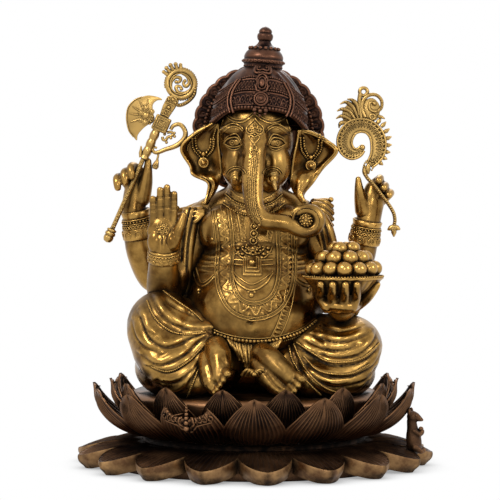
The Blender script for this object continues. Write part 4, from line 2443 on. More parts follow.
@dataclass
class Arms:
    """Two arms on each side, their bracelets and the empty hand that gives a blessing."""

    rear_right: Sequence[Point] = (
        (-50, 14, 172, 17), (-80, 20, 132, 17), (-98, 22, 112, 17.5), (-112, 16, 138, 17),
        (-119, 10, 166, 13), (-121, 8, 186, 11.5),
    )
    rear_left: Sequence[Point] = (
        (50, 14, 172, 17), (76, 20, 128, 16), (93, 23, 106, 16), (106, 15, 130, 15.5), (113, 9, 156, 13),
        (115, 8, 172, 12),
    )
    front_right: Sequence[Point] = (
        (-50, 0, 168, 19), (-74, -14, 122, 17.5), (-88, -30, 101, 17.5), (-89, -46, 122, 15.5),
        (-88, -57, 146, 12.5),
    )
    front_left: Sequence[Point] = (
        (50, 0, 168, 19), (78, -4, 124, 17), (92, -10, 102, 17), (90, -36, 90, 15), (86, -58, 84, 13),
    )
    cuffs: Sequence[Cuff] = (
        Cuff("rear_right_bracelet", (-114.5, 13, 152), (-119.5, 9, 180), (15.5, 11.6), 3.4),
        Cuff("rear_left_bracelet", (110.5, 11, 146), (114.5, 8, 170), (14, 11.8), 3.4),
        Cuff("front_right_bracelet", (-88.6, -51, 131), (-88.3, -55.5, 143), (14, 12.2), 2.4, 11),
        Cuff("front_left_bracelet", (89, -40, 89.5), (86.6, -54, 85), (14.6, 13.2), 2.4, 11),
    )
    palm: Point = (-88.6, -60.0, 157.0)
    fingers: Sequence[tuple[float, float]] = ((-98.7, 195.0), (-91.6, 203.6), (-84.8, 206.2), (-77.8, 199.7))

    def arm(self, name: str, joints: Sequence[Point]) -> None:
        """Builds one bare arm.

        Args:
            name: Which arm it is.
            joints: Its (x, y, rise, radius) joints.
        """
        clay = Clay()
        clay.chain(raised(joints), 5)
        piece = Piece(f"{name}_limb")
        piece.take(clay.skin(1.7, 5))
        done(piece, Metal.BODY, [f"{name}_arm"])

    def rosette(self, piece: Piece, skin: Skin, x: float, rise: float) -> None:
        """Lays a small lotus rosette on the open palm.

        Args:
            piece: What it is added to.
            skin: The palm's surface.
            x: Its middle from side to side.
            rise: The rise of its middle.
        """
        middle_spot = skin.front(x, rise + DECK)[0]
        for i in range(8):
            turn = 2 * pi * i / 8
            tip = [(x + 0.7 * r * cos(turn + d), rise + DECK + 0.7 * r * sin(turn + d))
                   for r, d in ((3, 0), (6, 0.3), (9, 0), (6, -0.3), (3, 0))]
            piece.wire(skin.lay(curve_through(tip, 3), 0.15), 0.5)
        piece.ring(middle_spot, 2.1, 0.6)
        piece.bead(middle_spot, 1.2)

    def blessing(self) -> None:
        """Builds the open right hand."""
        x, y, rise = self.palm
        clay = Clay()
        clay.ball((x - 1, y + 1, rise + 3 + DECK), (14.8, 7.4, 15.5))
        clay.ball((x - 7, y - 1, rise - 7 + DECK), (8.6, 8, 12))
        clay.ball((x + 7, y - 1.5, rise - 6 + DECK), (9, 8, 12))
        clay.chain(raised([(x, y + 4, rise - 16, 12.2), (x, y + 2, rise - 7, 12)]))
        clay.chain(
            raised(
                [
                    (x + 9, y, rise - 10, 7.5), (x + 14, y - 3, rise + 1, 5.6),
                    (x + 17.6, y - 3.5, rise + 11, 4.2), (x + 20, y - 3, rise + 19, 3.0),
                ]
            ),
            4,
        )
        strokes = [
            Stroke(
                [(x - 0.5, rise + DECK - 16), (x - 1, rise + DECK - 8), (x - 0.5, rise + DECK - 1)],
                ridge(-1.1, 0.8), 4,
            ),
            Stroke(
                curve_through(
                    [(x + 4, rise + DECK - 13), (x + 3.5, rise + DECK - 4), (x + 8, rise + DECK + 6)], 5
                ),
                ridge(-0.8, 0.9), 4,
            ),
        ]
        for tip_x, tip_rise in self.fingers:
            root = x + 0.97 * (tip_x - x)
            clay.chain(
                raised(
                    [
                        (root, y + 1, rise + 8, 4.1), (root, y - 0.2, rise + 18, 3.7),
                        (tip_x, y - 1.4, tip_rise - 3.3, 3.25),
                    ]
                ),
                3,
            )
            for share in (0.28, 0.62):
                height = blend(rise + 17, tip_rise, share) + DECK
                for gap in (0, 1.4):
                    strokes.append(
                        Stroke(
                            [(tip_x - 3.6, height + gap), (tip_x + 3.6, height + gap)], ridge(-0.55, 0.45), 2
                        )
                    )
        mesh = clay.skin(0.7, 3)
        carve(mesh, strokes, front_view, seen_from_front)
        skin = Skin(mesh)
        piece = Piece("blessing_hand")
        self.rosette(piece, skin, x - 0.8, rise + 6)
        piece.take(mesh)
        done(piece, Metal.BODY, ["front_right_hand"])

    def build(self) -> None:
        """Builds the arms, the bracelets and the open hand."""
        for name in ("rear_right", "rear_left", "front_right", "front_left"):
            self.arm(name, getattr(self, name))
        for cuff in self.cuffs:
            cuff.build()
        self.blessing()


# --- The goad ----------------------------------------------------------------------------------------


@dataclass
class Goad:
    """The goad that lifts out of the rear right hand, in (across, along) places from the grip.

    Attributes:
        grip: Where the hand holds it, as (x, y, rise).
        lean: How far it leans to the right, in degrees.
        blade: The outline of the crescent blade.
        hook: The hook's (across, along, radius) path.
        head: The middle of the scroll ring.
        ring: The radius of the scroll ring.
    """

    grip: Point = (-116.0, -7.0, 219.0)
    lean: float = 23.9
    blade: Sequence[Point] = (
        (-6.5, 74.6), (-10.4, 72.6), (-12.4, 69.8), (-13.0, 66.4), (-11.4, 62.7), (-8.1, 57.7), (-6, 55),
        (-6, 50), (-8.6, 47.4), (-11.4, 43.1), (-13.5, 37.8), (-14.6, 32.5), (-13.2, 27.6), (-17.5, 29.3),
        (-24.4, 33.3), (-30.3, 41.2), (-33.5, 48.6), (-34.4, 55.8), (-31.5, 63.7), (-26.3, 69.3),
        (-20.3, 73.6), (-12.6, 75.6), (-8.0, 75.8),
    )
    hook: Sequence[Point] = (
        (13.2, 51, 1.9), (14.0, 55.5, 2.0), (18.4, 59.4, 2.2), (23.6, 58.4, 2.3), (28.3, 53.8, 2.5),
        (29.1, 47.9, 2.7), (26.5, 41.3, 2.7), (22.3, 36.1, 2.5), (16.7, 31.2, 2.3), (12.0, 26.3, 2.1),
        (8.2, 23.9, 1.8), (4.9, 25.2, 1.6), (5.0, 28.4, 1.4), (8.2, 28.9, 1.2),
    )
    head: Point = (4.1, 96.9)
    ring: float = 13.4

    @property
    def place(self) -> Matrix:
        """Turns (across, along, outwards) places into the frame."""
        turn = Matrix.Rotation(radians(self.lean), 4, "Y")
        flip = Matrix(((1, 0, 0, 0), (0, 0, -1, 0), (0, 1, 0, 0), (0, 0, 0, 1)))
        x, y, rise = self.grip
        return Matrix.Translation((x, y, rise + DECK)) @ turn @ flip

    def at(self, path: Iterable[Point], out: float = 0.0) -> list[Vector]:
        """Places (across, along) points, out in front of the goad's middle."""
        return [self.place @ Vector((p[0], p[1], out)) for p in path]

    def shaft(self) -> None:
        """Builds the dotted shaft and its ribbed socket."""
        piece = Piece("goad_rod")
        piece.wire(self.at([(0, w) for w in np.linspace(-66, 18, 20)]), 2.35)
        for i, w in enumerate(np.arange(-62, 16, 2.1)):
            piece.bead(self.at([(0.9 if i % 2 else -0.9, w)], 2.1)[0], 0.85)
        spots = np.linspace(14, 46, 60)
        piece.wire(self.at([(0.6, w) for w in spots]), [3.9 + 0.75 * abs(sin(0.36 * w)) for w in spots])
        piece.wire(self.at([(-2.5, 14), (-4.8, 18), (-7.2, 24.5)]), [2.2, 2.0, 0.6])
        done(piece, Metal.PALE, ["goad_shaft"], "goad")
        knob = Piece("goad_knob")
        profile = [
            (0, 10), (2.2, 9.6), (2.6, 8), (4.6, 7.4), (5.0, 6), (4.0, 4.8), (5.2, 3.8), (5.4, 2), (4.4, 0.6),
            (5.0, -0.6), (4.9, -3), (3.6, -5.6), (0, -6.8),
        ]
        turn = self.place @ Matrix.Translation((0, -71, 0)) @ Matrix.Rotation(radians(-90), 4, "X")
        knob.turned(profile, turn, 32)
        done(knob, Metal.PALE, ["goad_pommel"], "goad")

    def axe(self) -> None:
        """Builds the crescent blade with its relief and the square boss."""
        piece = Piece("goad_crescent")
        outline = curve_through([*self.blade, self.blade[0]], 4)[:-1]
        piece.slab([(p.x, p.y) for p in outline], self.place, 3.2, 0.35)
        piece.wire(self.at(curve_through(self.blade[13:20], 6), 1.7), 0.6)
        for tip in ((-27, 41), (-31.5, 49), (-31.5, 57), (-27, 65), (-20, 70)):
            start = Vector((-13, 54)).lerp(Vector(tip), 0.5)
            piece.wire(self.at([start, start.lerp(Vector(tip), 0.5), tip], 1.6), [1.0, 0.8, 0.3])
        for u, w, size in (
            (-15, 54, 3.6), (-18, 61, 2.6), (-13, 47.5, 2.6), (-20.5, 54.5, 2.2), (-11, 60, 2.2),
            (-18, 48, 2.0),
        ):
            piece.bead(self.at([(u, w)], 1.4)[0], size, 0.6, Vector((0, -1, 0)))
            piece.ring(self.at([(u, w)], 1.8)[0], size, 0.55)
        for w in (48, 50.5, 53, 55.5):
            piece.bead(self.at([(-8, w)], 1.9)[0], 1.1)
        boss = [(2.5 + a, 52.5 + b) for a, b in ((-8, -8), (8, -8), (8, 8), (-8, 8))]
        piece.slab(boss, self.place, 7.6, 1.4)
        for half in (6.4, 4.1, 2.0):
            square = [
                (2.5 + half * a, 52.5 + half * b)
                for a, b in ((-1, -1), (0, -1), (1, -1), (1, 0), (1, 1), (0, 1), (-1, 1), (-1, 0))
            ]
            piece.wire(self.at(square, 3.9), 0.6, closed=True)
        done(piece, Metal.PALE, ["goad_blade"], "goad")

    def crook(self) -> None:
        """Builds the hook with its curls and its drop."""
        piece = Piece("goad_crook")
        path = curve_through([p[:2] for p in self.hook], 5)
        widths = [w.x for w in curve_through([(p[2], 0) for p in self.hook], 5)]
        piece.wire(self.at(path), widths)
        curl = curve_through(
            [
                (11, 47), (14.5, 49), (17.5, 48.2), (16.2, 45.6), (13.6, 43.0), (13, 39.7), (10.2, 38.9),
                (8.6, 41.4),
            ],
            4,
        )
        piece.wire(self.at(curl), 1.5)
        for u, w in ((18, 49.5), (19.5, 46.5), (16.8, 43.6), (14.6, 37.8), (9.6, 44.5)):
            piece.bead(self.at([(u, w)], 0.4)[0], 1.6)
        piece.wire(self.at([(11.4, 25.5), (12.6, 21), (13.2, 17)]), 1.1)
        drop = self.at([(13.4, 19), (13.6, 15), (14.0, 11.5), (14.4, 8.6)])
        piece.wire(drop, [1.0, 2.6, 3.6, 2.2])
        piece.ring(self.at([(14, 12)], 3.3)[0], 1.7, 0.5)
        done(piece, Metal.PALE, ["goad_hook"], "goad")

    def scroll(self) -> None:
        """Builds the ornamented neck and the scroll ring above it."""
        piece = Piece("goad_scroll")
        neck = [(-2.6, 60), (6.4, 60), (8.6, 72), (9.4, 80), (2, 85), (-3, 80), (-3.6, 70)]
        piece.slab(neck, self.place, 5.2, 1.2)
        for w, half in ((61.5, 4.6), (67, 5.0), (74, 5.6)):
            piece.wire(self.at([(2.4 - half, w), (2.4, w + 0.8), (2.4 + half, w)], 2.6), 0.75)
        for u, w, size in (
            (2.2, 64.3, 1.5), (2.6, 70.5, 2.0), (-0.4, 77.8, 1.7), (3.4, 79.4, 1.9), (7, 77.4, 1.6)
        ):
            piece.bead(self.at([(u, w)], 2.4)[0], size)
            piece.ring(self.at([(u, w)], 2.8)[0], size + 0.6, 0.45)
        u, w = self.head
        for radius, width, out in ((self.ring, 2.5, 0.0), (10.4, 0.8, 1.6), (15.2, 0.7, 1.0)):
            rim = [(u + radius * cos(a), w + radius * sin(a)) for a in np.linspace(0, 2 * pi, 49)[:-1]]
            piece.wire(self.at(rim, out), width, closed=True)
        for a in np.linspace(radians(-75), radians(215), 36):
            piece.bead(self.at([(u + 15.9 * cos(a), w + 15.9 * sin(a))])[0], 1.15)
        for i in range(3):
            turn = 0.5 + 2 * pi * i / 3
            curl = [
                (u + r * cos(turn + d), w + r * sin(turn + d))
                for r, d in (
                    (11.4, 1.5), (9.6, 0.8), (8.4, 0.1), (6.2, -0.45), (3.6, -0.5), (3.2, 0.5), (5.0, 0.55)
                )
            ]
            piece.wire(
                self.at(curve_through(curl, 4), 0.4), [*np.linspace(1.3, 1.9, 12), *np.linspace(1.9, 1.2, 13)]
            )
            piece.bead(self.at([curl[-1]], 0.6)[0], 2.0)
        for (a, b), size in zip(
            ((-16.3, 101), (-15.4, 105.6), (-12.8, 109.8), (-8.6, 112.8), (-3.8, 114.2)),
            (2.0, 2.2, 2.3, 2.2, 1.9),
        ):
            foot = Vector((u, w)).lerp(Vector((a, b)), 0.74)
            piece.wire(self.at([foot, (a, b)]), [2.2, 1.7])
            piece.bead(self.at([(a, b)])[0], size)
        tail = curve_through(
            [(19.2, 98), (20.4, 93), (19.3, 87.3), (16.6, 82.0), (12.6, 77.6), (8.9, 76.1)], 5
        )
        piece.wire(self.at(tail), 1.9)
        piece.beads(self.at(tail, 1.5), 1.25, 2.6)
        done(piece, Metal.PALE, ["goad_scroll_head"], "goad")

    def hand(self) -> None:
        """Builds the hand that holds the goad."""
        clay = Clay()
        clay.chain(
            raised([(-121, 8, 180, 11.8), (-120, 9, 192, 12), (-118, 9, 204, 11.4), (-118, 9, 212, 9)]), 3
        )
        clay.chain(
            raised(
                [(-112, 5, 192, 8.5), (-108.5, 0, 207, 7.0), (-106.5, -4, 219, 5.0), (-105.8, -5, 229, 3.4)]
            ),
            4,
        )
        for x, rise in ((-137, 207.5), (-129.6, 213), (-122.9, 218.6)):
            clay.chain(
                raised(
                    [
                        (x + 12, 10, rise - 3, 5.4), (x + 3, 5, rise + 5, 4.6), (x, -4, rise + 4.4, 4.2),
                        (x + 0.3, -8, rise - 0.5, 4.0), (x + 1, -8.5, rise - 5, 3.6),
                    ]
                ),
                3,
            )
        piece = Piece("goad_hand")
        piece.take(clay.skin(0.95, 3))
        done(piece, Metal.BODY, ["rear_right_hand"])

    def build(self) -> None:
        """Builds the goad and its hand."""
        for part in (self.shaft, self.axe, self.crook, self.scroll, self.hand):
            part()


# --- The noose ---------------------------------------------------------------------------------------


@dataclass
class Noose:
    """The curled noose in the rear left hand, in (x, rise) places.

    Attributes:
        depth: Where it stands from front to back.
        band: The (x, rise, half width) places along its toothed band, from the hood round to its end.
        tail: The path of the tail that hangs through the hand.
    """

    depth: float = -1.0
    band: Sequence[Point] = (
        (115.5, 224.5, 3.4), (122.4, 234, 6.0), (124.6, 244, 7.2), (122.8, 254.2, 7.0), (116.6, 262.0, 6.4),
        (107.6, 264.8, 6.4), (98.6, 262.6, 6.8), (92.8, 256.2, 7.2), (90.6, 248.4, 7.2), (92.4, 241.4, 6.8),
        (97.6, 236.9, 5.8), (104, 237.4, 4.2), (108.4, 241.4, 2.8),
    )
    tail: Sequence[Point] = (
        (112, 224), (110.6, 218), (113.2, 212), (119.4, 205.4), (127.6, 194.6), (134.6, 185.4),
        (139.2, 177.4), (140.6, 170), (139.6, 164),
    )

    @property
    def place(self) -> Matrix:
        """Turns (x, rise, outwards) places into the frame."""
        return Matrix(((1, 0, 0, 0), (0, 0, -1, self.depth), (0, 1, 0, DECK), (0, 0, 0, 1)))

    def at(self, path: Iterable[Point], out: float = 0.0) -> list[Vector]:
        """Places (x, rise) points, out in front of the noose's middle."""
        return [self.place @ Vector((p[0], p[1], out)) for p in path]

    def edges(self) -> tuple[list[Vector], list[Vector], list[Vector]]:
        """The band's middle line and its outer and inner edges."""
        line = curve_through([p[:2] for p in self.band], 6)
        widths = [w.x for w in curve_through([(p[2], 0) for p in self.band], 6)]
        outer, inner = [], []
        for i, (spot, width) in enumerate(zip(line, widths)):
            along = (line[min(i + 1, len(line) - 1)] - line[max(i - 1, 0)]).normalized()
            side = Vector((along.y, -along.x))
            outer.append(spot + side * width)
            inner.append(spot - side * width)
        return line, outer, inner

    def ring(self) -> None:
        """Builds the toothed band."""
        line, outer, inner = self.edges()
        piece = Piece("noose_band")
        piece.slab([(p.x, p.y) for p in [*outer, *reversed(inner)]], self.place, 4.4, 0.6)
        piece.wire(self.at(outer, 2.1), 1.25)
        piece.wire(self.at(inner, 2.1), 1.25)
        for i in range(4, len(line) - 3, 2):
            gap = outer[i] - inner[i]
            step = (outer[min(i + 1, len(outer) - 1)] - outer[i - 1]) * 0.5
            peak = inner[i] + gap * 0.34
            piece.wire(
                self.at([outer[i] - step * 0.9 - gap * 0.08, peak, outer[i] + step * 0.9 - gap * 0.08], 2.3),
                [0.9, 0.5, 0.9],
            )
            piece.bead(self.at([outer[i] - gap * 0.24], 2.2)[0], 1.15)
        piece.beads(self.at(outer[36:62], 1.0), 1.3, 2.7)
        piece.bead(self.at([(108.2, 242.6)])[0], 3.3)
        for (x, rise) in (
            (124.6, 268.6), (129, 265), (132, 259), (133.6, 252), (133.8, 245), (132.6, 238.4), (130, 232.4),
            (126.4, 227.4),
        ):
            out = (Vector((x, rise)) - Vector((108, 247))).normalized()
            tip = Vector((x, rise)) + out * 4.2 + Vector((0, 0.8))
            piece.wire(
                self.at([Vector((x, rise)) - out * 2.5, Vector((x, rise)) + out * 0.8, tip], 0.3),
                [1.8, 2.3, 0.5],
            )
        done(piece, Metal.PALE, ["noose_ring"])

    def leaves(self) -> None:
        """Builds the leaves, the stalk and the scroll above the band."""
        piece = Piece("noose_foliage")
        core = [
            (98, 267), (116, 268), (124, 272), (126, 284), (119, 292), (111, 290), (107, 285), (98, 288),
            (90, 282), (88, 274), (91, 268),
        ]
        piece.slab([(p.x, p.y) for p in curve_through([*core, core[0]], 3)[:-1]], self.place, 3.0, 0.6)
        for path in (
            [(104, 272), (99, 283), (92, 288), (86, 286)], [(102, 270), (95, 279), (88, 281), (83, 279)],
            [(100, 268), (92, 273), (87, 274), (82, 271.5)], [(96, 266), (90, 268), (86, 266), (85, 262)],
            [(105, 275), (103, 285), (98, 290), (93, 291)],
        ):
            leaf = curve_through(path, 4)
            piece.wire(
                self.at(leaf, 1.4),
                list(np.linspace(1.3, 2.3, 7)) + list(np.linspace(2.2, 0.5, len(leaf) - 7)),
            )
            piece.bead(self.at([path[-2]], 2.6)[0], 1.7)
        stalk = curve_through([(107.5, 270), (106.6, 279), (105.4, 289), (106.4, 296.6)], 4)
        piece.wire(self.at(stalk, 0.8), 2.3)
        piece.ring(self.at([(109.6, 298.4)])[0], 3.9, 1.9)
        scroll = curve_through(
            [
                (111, 273), (107.8, 281), (109, 289.6), (115, 295), (122.4, 295), (127.6, 289.4),
                (127, 281.6), (121, 278.4), (115.4, 281.6), (116, 287.4), (120.4, 287.6),
            ],
            4,
        )
        piece.wire(self.at(scroll, 1.2), [*np.linspace(2.2, 1.3, len(scroll))])
        piece.beads(self.at(scroll[8:28], 2.4), 0.95, 2.1)
        piece.bead(self.at([(120.4, 286.6)], 1.4)[0], 2.3)
        piece.ring(self.at([(118.4, 273.4)], 1.2)[0], 2.6, 1.2)
        piece.wire(self.at([(124, 274), (128, 273), (131, 271.4)], 0.8), [2.0, 1.6, 0.5])
        done(piece, Metal.PALE, ["noose_leaves"])

    def cord(self) -> None:
        """Builds the hood and the dotted tail that hangs through the hand."""
        piece = Piece("noose_tail")
        tail = curve_through(self.tail, 6)
        depths = [Vector((0, -9.0 * smoothstep(0, 0.3, i / len(tail)), 0)) for i in range(len(tail))]
        path = [p + d for p, d in zip(self.at(tail), depths)]
        piece.wire(path, [blend(3.0, 1.9, smoothstep(0, 0.25, i / len(path))) for i in range(len(path))])
        piece.beads([p + Vector((0, -1.9, 0)) for p in path[4:]], 1.05, 2.3)
        hood = curve_through(
            [(111.6, 217), (109.6, 223), (112.4, 229), (117.6, 229.4), (119.4, 224), (117, 218.6)], 4
        )
        piece.beads(self.at(hood, 2.6), 1.1, 2.2)
        piece.wire(self.at([(113.4, 216), (113.6, 221), (114.6, 226)], 1.6), [1.8, 3.2, 1.6])
        end = path[-1]
        for across, drop in ((0, -10.5), (-6.4, -3.6), (6.4, -3.2)):
            piece.wire(
                [end, end + Vector((0.55 * across, 0, 0.6 * drop)), end + Vector((across, 0, drop))],
                [2.4, 2.8, 0.7],
            )
        piece.ring(end + Vector((0, -2.2, -3.4)), 1.7, 0.5)
        done(piece, Metal.PALE, ["noose_stem"])

    def hand(self) -> None:
        """Builds the hand that holds the noose."""
        clay = Clay()
        clay.chain(
            raised([(115, 8, 166, 12), (116.6, 9, 178, 12.6), (119, 9, 190, 12.4), (121, 9, 200, 10)]), 3
        )
        clay.chain(
            raised([(109, 3, 180, 8), (106.6, -1, 192, 6.4), (105, -4, 202, 4.6), (104.2, -5, 211, 3.0)]), 4
        )
        for x, rise in ((124.4, 210), (129.6, 202.6), (134.8, 195.4)):
            clay.chain(
                raised(
                    [
                        (x - 6, 12, rise - 6, 5.2), (x + 1.5, 7, rise + 1, 4.4),
                        (x + 1.6, -1, rise + 1.6, 4.1), (x, -6.5, rise - 0.4, 3.9),
                    ]
                ),
                3,
            )
        piece = Piece("noose_hand")
        piece.take(clay.skin(0.95, 3))
        done(piece, Metal.BODY, ["rear_left_hand"])

    def build(self) -> None:
        """Builds the noose and its hand."""
        for part in (self.ring, self.leaves, self.cord, self.hand):
            part()


# --- The bowl of sweets ------------------------------------------------------------------------------


@dataclass
class Sweets:
    """The bowl of round sweets on the front left hand.

    Attributes:
        centre: The bowl's middle from above.
        seat: The rise of its foot.
        depth: How deep it is.
        radius: The radius of its rim.
        tiers: The (radius, rise, count, ball radius) rings of sweets.
    """

    centre: tuple[float, float] = (86.0, -82.0)
    seat: float = 99.0
    depth: float = 17.0
    radius: float = 38.0
    tiers: Sequence[tuple[float, float, int, float]] = (
        (29.8, 124.6, 13, 7.9), (20.6, 135.0, 9, 7.8), (9.6, 143.6, 4, 7.6)
    )

    def wall(self, share: float) -> float:
        """The bowl's outer radius, share of the way up it."""
        return self.radius * blend(0.45, 1.0, share**0.62)

    def bowl(self) -> None:
        """Builds the fluted bowl."""
        piece = Piece("fluted_bowl")
        x, y = self.centre

        def side(across: float, along: float) -> Point:
            """Finds a place on the bowl's outside.

            Args:
                across: The share of the way round.
                along: The share of the way from the middle of its foot up to its rim.

            Returns:
                The place.
            """
            turn = 2 * pi * across
            share = max(0.0, (along - 0.25) / 0.75)
            flute = (
                0.9 * abs(sin(14 * turn)) * smoothstep(0.1, 0.5, share) * (1 - smoothstep(0.8, 0.95, share))
            )
            r = self.wall(share) + flute if along > 0.25 else blend(0.1, 0.45 * self.radius, along / 0.25)
            return x + r * cos(turn), y + r * sin(turn), self.seat + DECK + self.depth * share

        piece.patch(197, 18, side)
        rim = self.seat + self.depth + DECK
        place = Matrix.Translation((x, y, rim))
        lip = [
            (self.radius - 3.4, -2), (self.radius - 0.6, -2.2), (self.radius + 1.2, -0.6),
            (self.radius + 0.9, 1.0), (self.radius - 1, 1.5), (self.radius - 3.4, 0.8),
        ]
        piece.turned([*lip, lip[0]], place, 96)
        piece.turned([(0, -4), (self.radius - 3, -1.5)], place, 48)
        for turn in np.linspace(0, 2 * pi, 85)[:-1]:
            piece.bead(
                (x + (self.radius + 0.6) * cos(turn), y + (self.radius + 0.6) * sin(turn), rim + 1.3), 1.0
            )
        done(piece, Metal.BODY, ["sweets_bowl"])

    def pile(self) -> None:
        """Builds the sweets."""
        piece = Piece("sweet_pile")
        x, y = self.centre
        chance = random.Random(11)
        for row, (ring, rise, count, size) in enumerate(self.tiers):
            for i in range(count):
                turn = 2 * pi * (i + 0.37 * row) / count - pi / 2 + chance.uniform(-0.03, 0.03)
                spot = Vector(
                    (x + ring * cos(turn), y + ring * sin(turn), rise + DECK + chance.uniform(-0.6, 0.6))
                )
                grown = size * chance.uniform(0.96, 1.04)
                piece.balls.add(
                    GLOBE, Matrix.Translation(spot) @ Matrix.Diagonal((grown, grown, 0.94 * grown, 1))
                )
                piece.bead(spot + Vector((chance.uniform(-2, 2), -0.86 * grown, 0.42 * grown)), 0.9)
        filling = [(0, 14), (12, 10), (22, 3), (30, -2), (34, -6)]
        piece.turned(filling, Matrix.Translation((x, y, self.seat + self.depth + 6 + DECK)), 40)
        done(piece, Metal.BODY, ["sweets"])

    def hand(self) -> None:
        """Builds the hand under the bowl."""
        x, y = self.centre
        clay = Clay()
        clay.chain(raised([(86, -58, 85, 12.6), (85, -72, 85, 12.5)]), 2)
        clay.ball((84, -86, 89 + DECK), (19, 22, 8.4))
        for tip in (63.5, 74.6, 86.6, 97.4):
            joints = [(blend(x, tip, 0.7), -96, 88, 5.6)]
            for share, size in ((0.05, 5.0), (0.4, 4.4), (0.75, 3.8)):
                out = self.wall(share) + 3.6
                run = tip - x
                joints.append(
                    (tip, y - sqrt(out * out - run * run), self.seat + self.depth * share - 1.5, size)
                )
            clay.chain(raised(joints), 3)
        clay.chain(
            raised([(97, -74, 88, 7), (108, -86, 96, 5.4), (115.6, -97, 106, 4.0), (118.6, -99, 110, 2.8)]), 3
        )
        piece = Piece("bowl_hand")
        piece.take(clay.skin(0.95, 3))
        done(piece, Metal.BODY, ["front_left_hand"])

    def build(self) -> None:
        """Builds the bowl, the sweets and the hand."""
        for part in (self.bowl, self.pile, self.hand):
            part()


# --- Shawl and mouse ---------------------------------------------------------------------------------


@dataclass
class Shawl:
    """The shawl: a cape that hangs over each shoulder and a pleated length in front of each arm.

    Attributes:
        right: The (x, y, rise) path of the right length, down the figure's own right side.
        left: The path of the left length.
        width: How wide a length is.
        pleats: How many pleats it has.
    """

    right: Sequence[Point] = (
        (-61, -13, 181), (-66, -22, 160), (-68.5, -24, 140), (-70, -24, 115), (-74, -20, 88), (-77, -10, 62)
    )
    left: Sequence[Point] = (
        (60, -13, 181), (68, -20, 164), (73, -17, 145), (75, -14, 120), (77, -8, 95), (78, 0, 78)
    )
    width: float = 15.0
    pleats: int = 3

    def length(self, piece: Piece, path: Sequence[Point]) -> None:
        """Adds one pleated length.

        Args:
            piece: What it is added to.
            path: Its (x, y, rise) path.
        """
        line = curve_through(raised(path), 10)

        def place(across: float, along: float) -> Vector:
            """Finds a place on the cloth.

            Args:
                across: The share of the way from side to side.
                along: The share of the way down.

            Returns:
                The place.
            """
            spot = line[min(len(line) - 1, round(along * (len(line) - 1)))]
            s = 2 * across - 1
            lift = 2.3 * abs(sin(pi * self.pleats * across)) ** 0.7 + 0.4 * sin(9 * along + 5 * across)
            return spot + Vector((0.5 * self.width * s, 3.2 * s * s - lift, 0))

        piece.patch(34, len(line), place, 3.0)

    def cape(self, piece: Piece, folds: Sequence[Sequence[Point]]) -> None:
        """Adds the cape that its folds make together.

        Args:
            piece: What it is added to.
            folds: The (x, y, rise, radius) joints of each fold.
        """
        clay = Clay()
        for joints in folds:
            clay.chain(raised(joints), 4)
        piece.take(clay.skin(0.9, 1))

    def build(self) -> None:
        """Builds both sides of the shawl."""
        right = Piece("right_shawl")
        self.length(right, self.right)
        self.cape(right, [
            [(-77, 0, 164, 2.6), (-68, -17, 165, 2.8), (-58, -22, 169, 2.6), (-50, -21, 176, 1.8)],
            [(-77.5, 1, 169, 2.8), (-68, -15, 171, 3.0), (-58, -20, 173.6, 2.6), (-50, -19.5, 178, 1.8)],
            [(-77.5, 2, 174, 2.8), (-68, -12, 176.4, 3.0), (-58, -18, 178, 2.6), (-50, -18, 180, 1.8)],
            [(-77, 2, 179, 2.8), (-68, -8, 181, 2.8), (-58, -14, 181.6, 2.4), (-51, -16, 182, 1.8)],
            [(-76, 5, 176, 4), (-67, 10, 180, 4), (-57, 8, 184, 4), (-50, -4, 186, 4)],
            [(-76, 4, 169, 4.5), (-66, 16, 172, 4.5), (-54, 20, 176, 4.5)],
            [(-74, 0, 172, 5), (-62, -8, 174, 8), (-54, -10, 178, 6)],
        ])
        right.bead(raised([(-77.2, -2, 182)])[0], 2.8)
        done(right, Metal.WRAP, ["right_shoulder_drape"])
        left = Piece("left_shawl")
        self.length(left, self.left)
        self.cape(left, [
            [(58, -18, 181, 2.4), (68, -17, 174, 2.6), (78, -6, 165, 2.2)],
            [(58, -16, 184, 2.6), (69, -14, 179, 3.0), (78.4, -4, 171, 2.4)],
            [(59, -14, 187, 2.6), (70, -11, 184, 3.0), (78.6, -3, 177, 2.4)],
            [(62, -10, 189, 2.4), (71, -7, 188, 2.8), (78, -2, 184, 2.4)],
            [(60, 0, 188, 4), (70, 3, 186, 4.5), (77, 2, 180, 3.4)],
            [(58, 12, 180, 4.5), (68, 12, 176, 4.5), (76, 4, 170, 3.4)],
            [(60, -8, 180, 7), (72, -4, 176, 5)],
        ])
        left.wire(curve_through(raised([(60, -8, 190), (70, -5, 191), (76.5, -2, 190.5)]), 4), 1.2)
        left.bead(raised([(77, -2, 190.5)])[0], 2.8)
        for drop in (0.0, 4.0):
            hem = raised([(59, -19.5, 179 + drop), (69, -18.2, 173.6 + drop), (78.6, -7.6, 165.5 + drop)])
            left.beads(curve_through(hem, 5), 1.0, 2.2)
        done(left, Metal.WRAP, ["left_shoulder_drape"])


